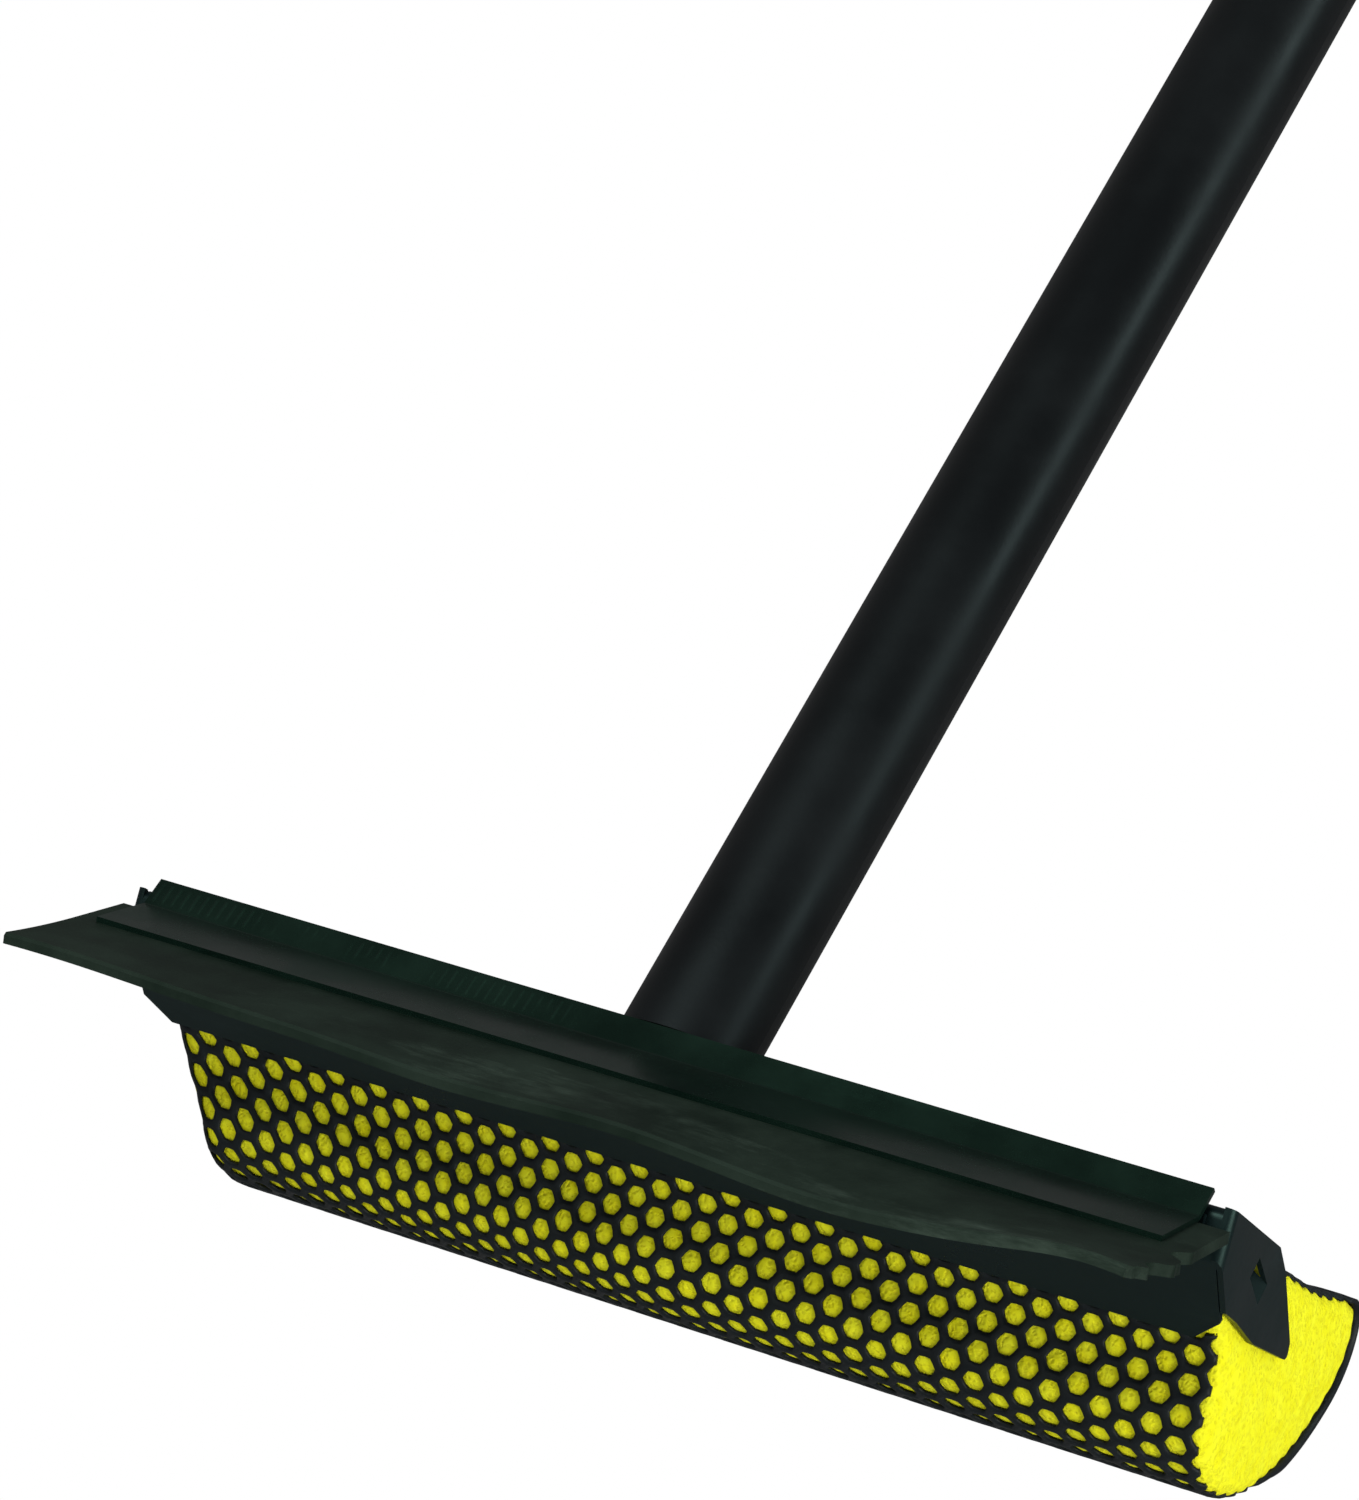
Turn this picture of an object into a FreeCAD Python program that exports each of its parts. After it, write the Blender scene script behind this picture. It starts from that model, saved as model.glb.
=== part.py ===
import FreeCAD, Part
import math
import os
import Sketcher
from FreeCAD import Placement, Rotation, Vector

# A wash squeegee. A rubber blade is clamped along the front of a folded sheet head,
# a net-covered sponge sits in the head's back, and a tubular handle stands on its roof.
# Millimetres and degrees. +X runs along the head, -Y is the blade's side, +Z runs up the
# handle. The origin is the centre of the hanging hole. Head pieces are drawn from the head
# datum, which is on the handle's axis, level with the top edge of the clamp strip's wall.

SIZES = {
    # head
    "head_length": 212.0,       # over the two ears, along X
    "sheet": 1.0,
    "bend_radius": 0.8,         # inside a bend
    # clamp strip
    "strip_inset": 4.5,         # ends of both strips in from the ears' outer faces
    "wall_gap": 0.9,            # wall's back face to the handle socket's spigot
    "wall_height": 5.8,
    "wall_lean": 85.5,          # above level
    "flange_width": 14.1,
    "blade_slope": 47.0,        # flange and blade, below level
    # wiping blade
    "rubber_thick": 2.0,
    "rubber_width": 35.0,
    "rubber_overhang": 4.0,     # ends of the blade past the strips'
    "rubber_root": 0.3,         # root edge below the clamp strip's fold
    "rubber_chamfer": 0.5,
    # channel
    "seam_gap": 0.2,            # clamp wall to channel
    "channel_drop": 2.0,        # channel's front edge below the clamp wall's top
    "roof_slope": 20.0,
    "roof_width": 25.5,
    "web_slope": 58.7,
    "web_width": 8.7,
    "skirt_slope": 14.0,
    "skirt_cut": 5.0,           # across the skirt's two back corners
    "skirt_width": 18.9,
    # ears, in the roof's own directions: back along it, and below it
    "ear_gap": 0.2,             # ends of roof and skirt to the ear
    "ear_bend": 0.6,            # inside the bend from web to ear
    "plate_start": 0.6,         # roof's and skirt's full-length parts, past the bends
    "bend_play": 0.3,           # channel's own bends to the ear's bend
    "brow_back": 31.6,
    "brow_depth": 2.7,
    "nose_back": 45.0,
    "nose_depth": 11.9,
    "tip_back": 46.2,
    "tip_depth": 14.8,
    "belly_back": 28.0,
    "belly_depth": 16.1,
    "throat_back": 16.9,
    "throat_depth": 14.9,
    "chin_back": 11.0,          # where the ear's lower edge leaves the skirt
    "tip_round": 1.0,
    # prong lanced out of each ear into the sponge
    "prong_length": 8.0,
    "prong_width": 4.0,
    "prong_reach": 4.0,
    "prong_back": 15.0,         # hinge line behind the handle's axis
    "prong_drop": 1.5,          # middle below the head datum
    "prong_play": 0.4,
    # jaw strip
    "jaw_width": 15.0,
    "foot_width": 3.6,
    # sponge and net
    "sponge_inset": 2.5,        # ends of the sponge to the ears' inner faces
    "sponge_width": 81.0,
    "sponge_thick": 40.0,
    "roof_room": 1.3,           # sponge below the roof, room for the rivet tails
    "skirt_room": 0.5,          # sponge above the skirt, and behind the web
    "net_thick": 0.8,
    # handle tube
    "tube_radius": 12.0,
    "tube_wall": 1.8,
    "tube_length": 468.0,       # head datum to the tube's top
    "slip": 0.1,                # radial clearance on the socket and on the end cap
    # handle socket
    "socket_flange": 1.5,
    "socket_width": 56.0,
    "socket_depth": 23.0,
    "socket_height": 45.0,
    "socket_wall": 3.0,
    "socket_floor": 12.0,       # bottom of its bore above the head datum
    "foot_gap": 0.2,            # tube's foot above the clamp wall and the socket's flange
    # socket rivets
    "rivet_radius": 1.6,
    "rivet_head_radius": 3.0,
    "rivet_crown_radius": 1.7,
    "rivet_head": 1.1,
    "rivet_tail_radius": 2.4,
    "rivet_tail": 0.8,
    "rivet_pitch_x": 42.0,
    "rivet_pitch_y": 12.0,
    "hole_play": 0.05,
    # handle screw
    "screw_radius": 1.9,
    "screw_head_radius": 3.6,
    "screw_head": 2.2,
    "screw_length": 8.5,
    "screw_height": 30.0,       # above the head datum
    "slot_width": 0.9,
    "slot_depth": 1.1,
    # end cap
    "plug_length": 25.0,
    "collar_height": 3.0,
    "tab_thick": 10.0,
    "tab_width": 21.0,
    "tab_height": 24.0,         # collar's top to the hanging hole
    "hang_radius": 4.0,
    "cap_round": 1.5,
}

doc = FreeCAD.newDocument("squeegee")
sheet = doc.addObject("Spreadsheet::Sheet", "Sizes")
for row, (alias, value) in enumerate(SIZES.items(), 1):
    sheet.set("A%d" % row, alias.replace("_", " "))
    sheet.set("B%d" % row, str(value))
    sheet.setAlias("B%d" % row, alias)
doc.recompute()


def size(alias):
    """A driving size, read back from the sheet."""
    return float(sheet.get(alias))


def rise(degrees):
    """Unit vector in a section, at an angle above level."""
    return Vector(math.cos(math.radians(degrees)), math.sin(math.radians(degrees)), 0)


# ---- places in the head's section: x is the row's Y, y is its Z ----

STRIP_LENGTH = "Sizes.head_length - 2 * Sizes.strip_inset"
HANG_HEIGHT = "(Sizes.tube_length + Sizes.collar_height + Sizes.tab_height)"
SPIGOT = "(Sizes.tube_radius - Sizes.tube_wall - Sizes.slip)"
WALL_FRONT = "(%s + Sizes.wall_gap + Sizes.sheet)" % SPIGOT
FOLD_ACROSS = "-%s - Sizes.wall_height * cos(Sizes.wall_lean * 1 deg)" % WALL_FRONT
FOLD_UP = "-Sizes.wall_height * sin(Sizes.wall_lean * 1 deg)"
CORNER_ACROSS = "(Sizes.sheet + Sizes.seam_gap - %s)" % WALL_FRONT
CORNER_UP = "-Sizes.channel_drop"
WEB_TURN = "(Sizes.roof_slope + Sizes.web_slope)"
BEND_ROOM = "(Sizes.sheet + Sizes.ear_bend + Sizes.bend_play)"
ROOF_TANGENT = ("(Sizes.bend_radius + Sizes.sheet) * "
                "tan((90 - %s / 2) * 1 deg)" % WEB_TURN)
SKIRT_TANGENT = ("(Sizes.bend_radius + Sizes.sheet) * "
                 "tan((Sizes.web_slope - Sizes.skirt_slope) / 2 * 1 deg)")

sponge_half = size("head_length") / 2 - size("sheet") - size("sponge_inset")
spigot = size("tube_radius") - size("tube_wall") - size("slip")
wall_front = spigot + size("wall_gap") + size("sheet")
wall_top = Vector(-wall_front, 0, 0)
blade_down = rise(180 + size("blade_slope"))
blade_behind = rise(size("blade_slope") - 90)
fold = wall_top - rise(size("wall_lean")) * size("wall_height")
corner = Vector(size("sheet") + size("seam_gap") - wall_front, -size("channel_drop"), 0)
bend_outside = size("bend_radius") + size("sheet")
web_turn = size("roof_slope") + size("web_slope")
roof_tangent = bend_outside * math.tan(math.radians(90 - web_turn / 2))
skirt_tangent = bend_outside * math.tan(math.radians(size("web_slope") - size("skirt_slope")) / 2)


# ---- sketch and feature helpers ----

def new_body(name, at_head=True):
    """An empty body, with its origin at the head datum or at the hanging hole."""
    body = doc.addObject("PartDesign::Body", name)
    body.Label = name
    if at_head:
        body.setExpression("Placement.Base.z", "-" + HANG_HEIGHT)
    return body


def new_sketch(body, name, role, lift=None):
    """A sketch on one of the body's origin planes, or lifted off it."""
    sketch = body.newObject("Sketcher::SketchObject", name)
    plane = next(f for f in body.Origin.OriginFeatures if f.Role == role)
    sketch.AttachmentSupport = [(plane, "")]
    sketch.MapMode = "FlatFace"
    if lift:
        sketch.setExpression("AttachmentOffset.Base.z", lift)
    return sketch


def section_in_roof_frame(body, name, lift=None):
    """A section sketch whose X runs back along the roof, from the channel's front corner."""
    sketch = new_sketch(body, name, "YZ_Plane", lift)
    sketch.AttachmentOffset = Placement(Vector(), Rotation(Vector(0, 0, 1), 1))
    sketch.setExpression("AttachmentOffset.Rotation.Angle", "Sizes.roof_slope * 1 deg")
    sketch.setExpression("AttachmentOffset.Base.x", CORNER_ACROSS)
    sketch.setExpression("AttachmentOffset.Base.y", CORNER_UP)
    return sketch


def plan_on_roof(body, name):
    """A sketch lying on the roof: X along the head, Y back from the front corner."""
    sketch = new_sketch(body, name, "XY_Plane")
    sketch.AttachmentOffset = Placement(Vector(), Rotation(Vector(1, 0, 0), 1))
    sketch.setExpression("AttachmentOffset.Rotation.Angle", "Sizes.roof_slope * 1 deg")
    sketch.setExpression("AttachmentOffset.Base.y", CORNER_ACROSS)
    sketch.setExpression("AttachmentOffset.Base.z", CORNER_UP)
    return sketch


def constrain(sketch, kind, *where, name=None, to=None):
    """A constraint, named and bound to the sheet when an expression is given."""
    index = sketch.addConstraint(Sketcher.Constraint(kind, *where))
    if to:
        sketch.renameConstraint(index, name)
        sketch.setExpression("Constraints." + name, to)


def closed_lines(sketch, points):
    """Lines round the points, joined end to end."""
    ends = points[1:] + points[:1]
    lines = [sketch.addGeometry(Part.LineSegment(a, b)) for a, b in zip(points, ends)]
    for one, two in zip(lines, lines[1:] + lines[:1]):
        constrain(sketch, "Coincident", one, 2, two, 1)
    return lines


def place(sketch, geometry, end, at, name, across, up):
    """Fixes a point by its distances from the sketch's origin."""
    constrain(sketch, "DistanceX", -1, 1, geometry, end, at.x, name=name + "_x", to=across)
    constrain(sketch, "DistanceY", -1, 1, geometry, end, at.y, name=name + "_y", to=up)


def add_circle(sketch, name, radius, radius_to, at=None, across=None, up=None):
    """A circle round the origin, or round a point given with its two expressions."""
    index = sketch.addGeometry(Part.Circle(at or Vector(), Vector(0, 0, 1), radius))
    constrain(sketch, "Radius", index, radius, name=name, to=radius_to)
    if at:
        place(sketch, index, 3, at, name, across, up)
    else:
        constrain(sketch, "Coincident", index, 3, -1, 1)


def add_rectangle(sketch, low, high, low_to, high_to):
    """A level rectangle between two corners, each given with its two expressions."""
    points = [low, Vector(high.x, low.y, 0), high, Vector(low.x, high.y, 0)]
    lines = closed_lines(sketch, points)
    for line, kind in zip(lines, ("Horizontal", "Vertical") * 2):
        constrain(sketch, kind, line)
    place(sketch, lines[0], 1, low, "low", *low_to)
    place(sketch, lines[2], 1, high, "high", *high_to)


def pad(body, name, sketch, length, midplane=False):
    """A pad with a bound length."""
    feature = body.newObject("PartDesign::Pad", name)
    feature.Profile = sketch
    feature.setExpression("Length", length)
    feature.Midplane = midplane
    doc.recompute()
    return feature


def pocket(body, name, sketch, length=None, midplane=False):
    """A pocket of a bound length or right through; it has to remove material."""
    before = body.Shape.Volume
    feature = body.newObject("PartDesign::Pocket", name)
    feature.Profile = sketch
    feature.Midplane = midplane
    if length:
        feature.setExpression("Length", length)
    else:
        feature.Type = "ThroughAll"
    doc.recompute()
    if not body.Shape.Volume < before - 0.01:
        raise RuntimeError(name + " removes nothing")
    return feature


def ease(body, name, kind, amount, wanted):
    """Eases the body's edges whose middle point and direction pass the test."""
    base = body.Tip
    names = []
    for number, edge in enumerate(base.Shape.Edges, 1):
        middle = (edge.FirstParameter + edge.LastParameter) / 2
        if wanted(edge.valueAt(middle), edge.tangentAt(middle)):
            names.append("Edge%d" % number)
    feature = body.newObject("PartDesign::" + kind, name)
    feature.Base = (base, names)
    feature.setExpression("Radius" if kind == "Fillet" else "Size", amount)
    doc.recompute()
    return feature


def fillet(body, name, radius, wanted):
    """Rounds the edges that pass the test."""
    return ease(body, name, "Fillet", radius, wanted)


def near_section_point(point, target):
    """Whether a point of the body lies over a point of its section."""
    return math.hypot(point.y - target.x, point.z - target.y) < 0.05


# ---- folded strips ----

def strip_points(start, legs):
    """Corners of a folded strip along its outer line, and along its inner line."""
    thickness = size("sheet")
    outer = [start]
    for reach, angle, _, _ in legs:
        outer.append(outer[-1] + rise(angle) * reach)
    angles = [leg[1] for leg in legs]
    inner = [outer[0] + rise(angles[0] + 90) * thickness]
    for before, after, at in zip(angles, angles[1:], outer[1:]):
        half_turn = math.radians(after - before) / 2
        inner.append(at + rise((before + after) / 2 + 90) * (thickness / math.cos(half_turn)))
    inner.append(outer[-1] + rise(angles[-1] + 90) * thickness)
    return outer, inner


def strip_sketch(body, name, start, legs):
    """Section of a folded strip with sharp corners; its place is left to the caller.

    The sheet lies left of the outer line. A leg is its reach, its angle above level
    and the two expressions for them.
    """
    outer, inner = strip_points(start, legs)
    sketch = new_sketch(body, name, "YZ_Plane")
    lines = closed_lines(sketch, outer + inner[::-1])
    count = len(legs)
    for index, (reach, angle, reach_to, angle_to) in enumerate(legs):
        one, other = lines[index], lines[2 * count - index]
        constrain(sketch, "Distance", one, reach, name="reach%d" % index, to=reach_to)
        constrain(sketch, "Angle", one, math.radians(angle), name="angle%d" % index,
                  to="(%s) * 1 deg" % angle_to)
        constrain(sketch, "Parallel", one, other)
        constrain(sketch, "Distance", other, 1, one, size("sheet"), name="sheet%d" % index,
                  to="Sizes.sheet")
    constrain(sketch, "Perpendicular", lines[0], lines[-1])
    constrain(sketch, "Perpendicular", lines[count - 1], lines[count])
    return sketch, lines


def bend_strip(body, start, legs):
    """Rounds the corners of a padded strip, inside and outside."""
    outer, inner = strip_points(start, legs)
    for index, (leg, following) in enumerate(zip(legs, legs[1:]), 1):
        sides = [("inside", inner[index]), ("outside", outer[index])]
        if following[1] < leg[1]:
            sides = [("inside", outer[index]), ("outside", inner[index])]
        for side, at in sides:
            radius = "Sizes.bend_radius" + (" + Sizes.sheet" if side == "outside" else "")
            fillet(body, "%s_bend%d" % (side, index), radius,
                   lambda p, along: abs(along.x) > 0.99 and near_section_point(p, at))


def along_web(point, direction, middle):
    """Whether an edge runs down the web, over the line through a point of its section."""
    web = rise(-size("web_slope"))
    apart = Vector(point.y, point.z, 0) - middle
    return abs(apart.cross(web).z) < 0.05 and abs(
        direction.y * web.x + direction.z * web.y) > 0.99


def clamp_strip():
    """Outer strip: a wall, and a flange that presses on the blade."""
    body = new_body("clamp_strip")
    legs = [
        (size("wall_height"), 180 + size("wall_lean"),
         "Sizes.wall_height", "180 + Sizes.wall_lean"),
        (size("flange_width"), 180 + size("blade_slope"),
         "Sizes.flange_width", "180 + Sizes.blade_slope"),
    ]
    sketch, lines = strip_sketch(body, "clamp_section", wall_top, legs)
    place(sketch, lines[0], 1, wall_top, "wall_top", "-" + WALL_FRONT, "0")
    pad(body, "clamp_pad", sketch, STRIP_LENGTH, midplane=True)
    bend_strip(body, wall_top, legs)
    return body


def fold_point(sketch):
    """A construction point at the clamp strip's fold."""
    index = sketch.addGeometry(Part.Point(fold), True)
    place(sketch, index, 1, fold, "fold", FOLD_ACROSS, FOLD_UP)
    return index


def jaw_strip():
    """Inner strip: a jaw behind the blade, and a foot flat on the channel's web."""
    body = new_body("jaw_strip")
    back = 2 * size("sheet") + size("rubber_thick")
    on_blade = fold + blade_behind * back
    web = rise(-size("web_slope"))
    offset = on_blade - corner
    along_web = (offset.x * blade_down.y - offset.y * blade_down.x) / (
        web.x * blade_down.y - web.y * blade_down.x)
    knee = corner + web * along_web
    start = knee + blade_down * size("jaw_width")
    legs = [
        (size("jaw_width"), size("blade_slope"), "Sizes.jaw_width", "Sizes.blade_slope"),
        (size("foot_width"), 180 - size("web_slope"),
         "Sizes.foot_width", "180 - Sizes.web_slope"),
    ]
    sketch, lines = strip_sketch(body, "jaw_section", start, legs)
    middle = fold_point(sketch)
    constrain(sketch, "Distance", middle, 1, lines[0], back, name="behind_blade",
              to="2 * Sizes.sheet + Sizes.rubber_thick")
    at_corner = sketch.addGeometry(Part.Point(corner), True)
    place(sketch, at_corner, 1, corner, "corner", CORNER_ACROSS, CORNER_UP)
    constrain(sketch, "PointOnObject", at_corner, 1, lines[1])
    pad(body, "jaw_pad", sketch, STRIP_LENGTH, midplane=True)
    bend_strip(body, start, legs)
    return body


def blade_rubber():
    """Wiping blade: flat, with a chamfer along its edge."""
    body = new_body("blade_rubber")
    front = size("sheet")
    back = front + size("rubber_thick")
    root = size("rubber_root")
    tip = root + size("rubber_width")
    chamfer = size("rubber_chamfer")
    places = [(root, front), (tip - chamfer, front), (tip, front + chamfer), (tip, back),
              (root, back)]
    sketch = new_sketch(body, "blade_section", "YZ_Plane")
    lines = closed_lines(sketch, [fold + blade_down * a + blade_behind * b for a, b in places])
    face, _, edge, behind, root_face = lines
    middle = fold_point(sketch)
    constrain(sketch, "Angle", face, math.radians(180 + size("blade_slope")), name="slope",
              to="(180 + Sizes.blade_slope) * 1 deg")
    constrain(sketch, "Parallel", face, behind)
    constrain(sketch, "Perpendicular", face, edge)
    constrain(sketch, "Perpendicular", face, root_face)
    for name, where, value, to in (
            ("under_flange", (middle, 1, face), front, "Sizes.sheet"),
            ("root", (middle, 1, root_face), root, "Sizes.rubber_root"),
            ("width", (behind,), size("rubber_width"), "Sizes.rubber_width"),
            ("thick", (root_face,), size("rubber_thick"), "Sizes.rubber_thick"),
            ("face_width", (face,), size("rubber_width") - chamfer,
             "Sizes.rubber_width - Sizes.rubber_chamfer"),
            ("edge_thick", (edge,), size("rubber_thick") - chamfer,
             "Sizes.rubber_thick - Sizes.rubber_chamfer")):
        constrain(sketch, "Distance", *where, value, name=name, to=to)
    pad(body, "blade_pad", sketch, STRIP_LENGTH + " + 2 * Sizes.rubber_overhang", midplane=True)
    return body


# ---- channel ----

def add_ear(body):
    """Right ear, flush with the web and the start of the skirt; in the roof's frame."""
    web = rise(-web_turn)
    foot = web * size("web_width")
    spread = math.tan(math.radians(size("roof_slope") + size("skirt_slope")))
    turn = "%s * 1 deg" % WEB_TURN
    foot_across = "Sizes.web_width * cos(%s)" % turn
    foot_up = "-Sizes.web_width * sin(%s)" % turn
    points = [
        (Vector(), "0", "0"),
        (foot, foot_across, foot_up),
        (Vector(size("chin_back"), foot.y - (size("chin_back") - foot.x) * spread, 0),
         "Sizes.chin_back",
         "%s - (Sizes.chin_back - %s) * tan((Sizes.roof_slope + Sizes.skirt_slope) * 1 deg)" % (
             foot_up, foot_across)),
    ]
    for name in ("throat", "belly", "tip", "nose", "brow"):
        at = Vector(size(name + "_back"), -size(name + "_depth"), 0)
        points.append((at, "Sizes.%s_back" % name, "-Sizes.%s_depth" % name))
    points.append((Vector(size("roof_width"), 0, 0), "Sizes.roof_width", "0"))
    sketch = section_in_roof_frame(body, "ear_outline", "Sizes.head_length / 2 - Sizes.sheet")
    lines = closed_lines(sketch, [at for at, _, _ in points])
    for number, (line, (at, across, up)) in enumerate(zip(lines, points)):
        place(sketch, line, 1, at, "p%d" % number, across, up)
    return pad(body, "ear_pad", sketch, "Sizes.sheet")


def add_web_end(body):
    """Flat end of the web that the right ear is bent from, mitred along roof and skirt."""
    web = rise(-web_turn)
    foot = web * size("web_width")
    turn = "%s * 1 deg" % WEB_TURN
    skirt_turn = "(Sizes.roof_slope + Sizes.skirt_slope) * 1 deg"
    foot_across = "Sizes.web_width * cos(%s)" % turn
    foot_up = "-Sizes.web_width * sin(%s)" % turn
    at_foot = "Sizes.sheet / sin((Sizes.web_slope - Sizes.skirt_slope) * 1 deg)"
    at_corner = "Sizes.sheet / sin(%s)" % turn
    inner = foot + rise(-size("roof_slope") - size("skirt_slope")) * (
        size("sheet") / math.sin(math.radians(size("web_slope") - size("skirt_slope"))))
    points = [
        (Vector(), "0", "0"),
        (foot, foot_across, foot_up),
        (inner, "%s + %s * cos(%s)" % (foot_across, at_foot, skirt_turn),
         "%s - %s * sin(%s)" % (foot_up, at_foot, skirt_turn)),
        (Vector(size("sheet") / math.sin(math.radians(web_turn)), 0, 0), at_corner, "0"),
    ]
    sketch = section_in_roof_frame(body, "web_end_section", "Sizes.head_length / 2 - " + BEND_ROOM)
    lines = closed_lines(sketch, [at for at, _, _ in points])
    for number, (line, (at, across, up)) in enumerate(zip(lines, points)):
        place(sketch, line, 1, at, "p%d" % number, across, up)
    return pad(body, "web_end_pad", sketch, BEND_ROOM)


def add_prong(body):
    """Window in the right ear, and the prong that was bent out of it."""
    half = size("prong_width") / 2
    back = size("prong_back")
    middle = -size("prong_drop")
    window = new_sketch(body, "window_outline", "YZ_Plane", "Sizes.head_length / 2")
    add_rectangle(
        window, Vector(back - size("prong_length"), middle - half, 0),
        Vector(back, middle + half, 0),
        ("Sizes.prong_back - Sizes.prong_length", "-Sizes.prong_drop - Sizes.prong_width / 2"),
        ("Sizes.prong_back", "-Sizes.prong_drop + Sizes.prong_width / 2"))
    cut = pocket(body, "window", window, "Sizes.sheet")
    outside = size("head_length") / 2
    thick = size("sheet")
    reach = size("prong_reach")
    run = math.sqrt(size("prong_length") ** 2 - reach ** 2)
    run_to = "sqrt(Sizes.prong_length ^ 2 - Sizes.prong_reach ^ 2)"
    points = [
        (outside, back + thick, "Sizes.head_length / 2", "Sizes.prong_back + Sizes.sheet"),
        (outside, back, "Sizes.head_length / 2", "Sizes.prong_back"),
        (outside - reach, back - run, "Sizes.head_length / 2 - Sizes.prong_reach",
         "Sizes.prong_back - " + run_to),
        (outside - reach - thick, back - run + thick,
         "Sizes.head_length / 2 - Sizes.prong_reach - Sizes.sheet",
         "Sizes.prong_back - %s + Sizes.sheet" % run_to),
        (outside - thick, back + thick, "Sizes.head_length / 2 - Sizes.sheet",
         "Sizes.prong_back + Sizes.sheet"),
    ]
    side = new_sketch(body, "prong_side", "XY_Plane",
                      "-Sizes.prong_drop - Sizes.prong_width / 2")
    lines = closed_lines(side, [Vector(x, y, 0) for x, y, _, _ in points])
    for number, (line, (x, y, across, up)) in enumerate(zip(lines, points)):
        place(side, line, 1, Vector(x, y, 0), "p%d" % number, across, up)
    return cut, pad(body, "prong", side, "Sizes.prong_width")


def rivet_places():
    """The socket rivets' places on the roof, each with its two expressions."""
    middle = size("roof_width") / 2
    for side in (-1, 1):
        for row in (-1, 1):
            at = Vector(side * size("rivet_pitch_x") / 2,
                        middle + row * size("rivet_pitch_y") / 2, 0)
            yield (at, "%d * Sizes.rivet_pitch_x / 2" % side,
                   "Sizes.roof_width / 2 + %d * Sizes.rivet_pitch_y / 2" % row)


def rivet_hole_plan(body, name):
    """Sketch of the four rivet holes, on the roof's surface."""
    sketch = plan_on_roof(body, name)
    radius = size("rivet_radius") + size("hole_play")
    for number, (at, across, up) in enumerate(rivet_places()):
        add_circle(sketch, "hole%d" % number, radius, "Sizes.rivet_radius + Sizes.hole_play",
                   at, across, up)
    return sketch


def add_plate(body, name, start, start_to, leg, length):
    """One flat stretch of the folded sheet, padded along the head."""
    sketch, lines = strip_sketch(body, name + "_section", start, [leg])
    place(sketch, lines[0], 1, start, "start", *start_to)
    pad(body, name + "_pad", sketch, length, midplane=True)


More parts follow.
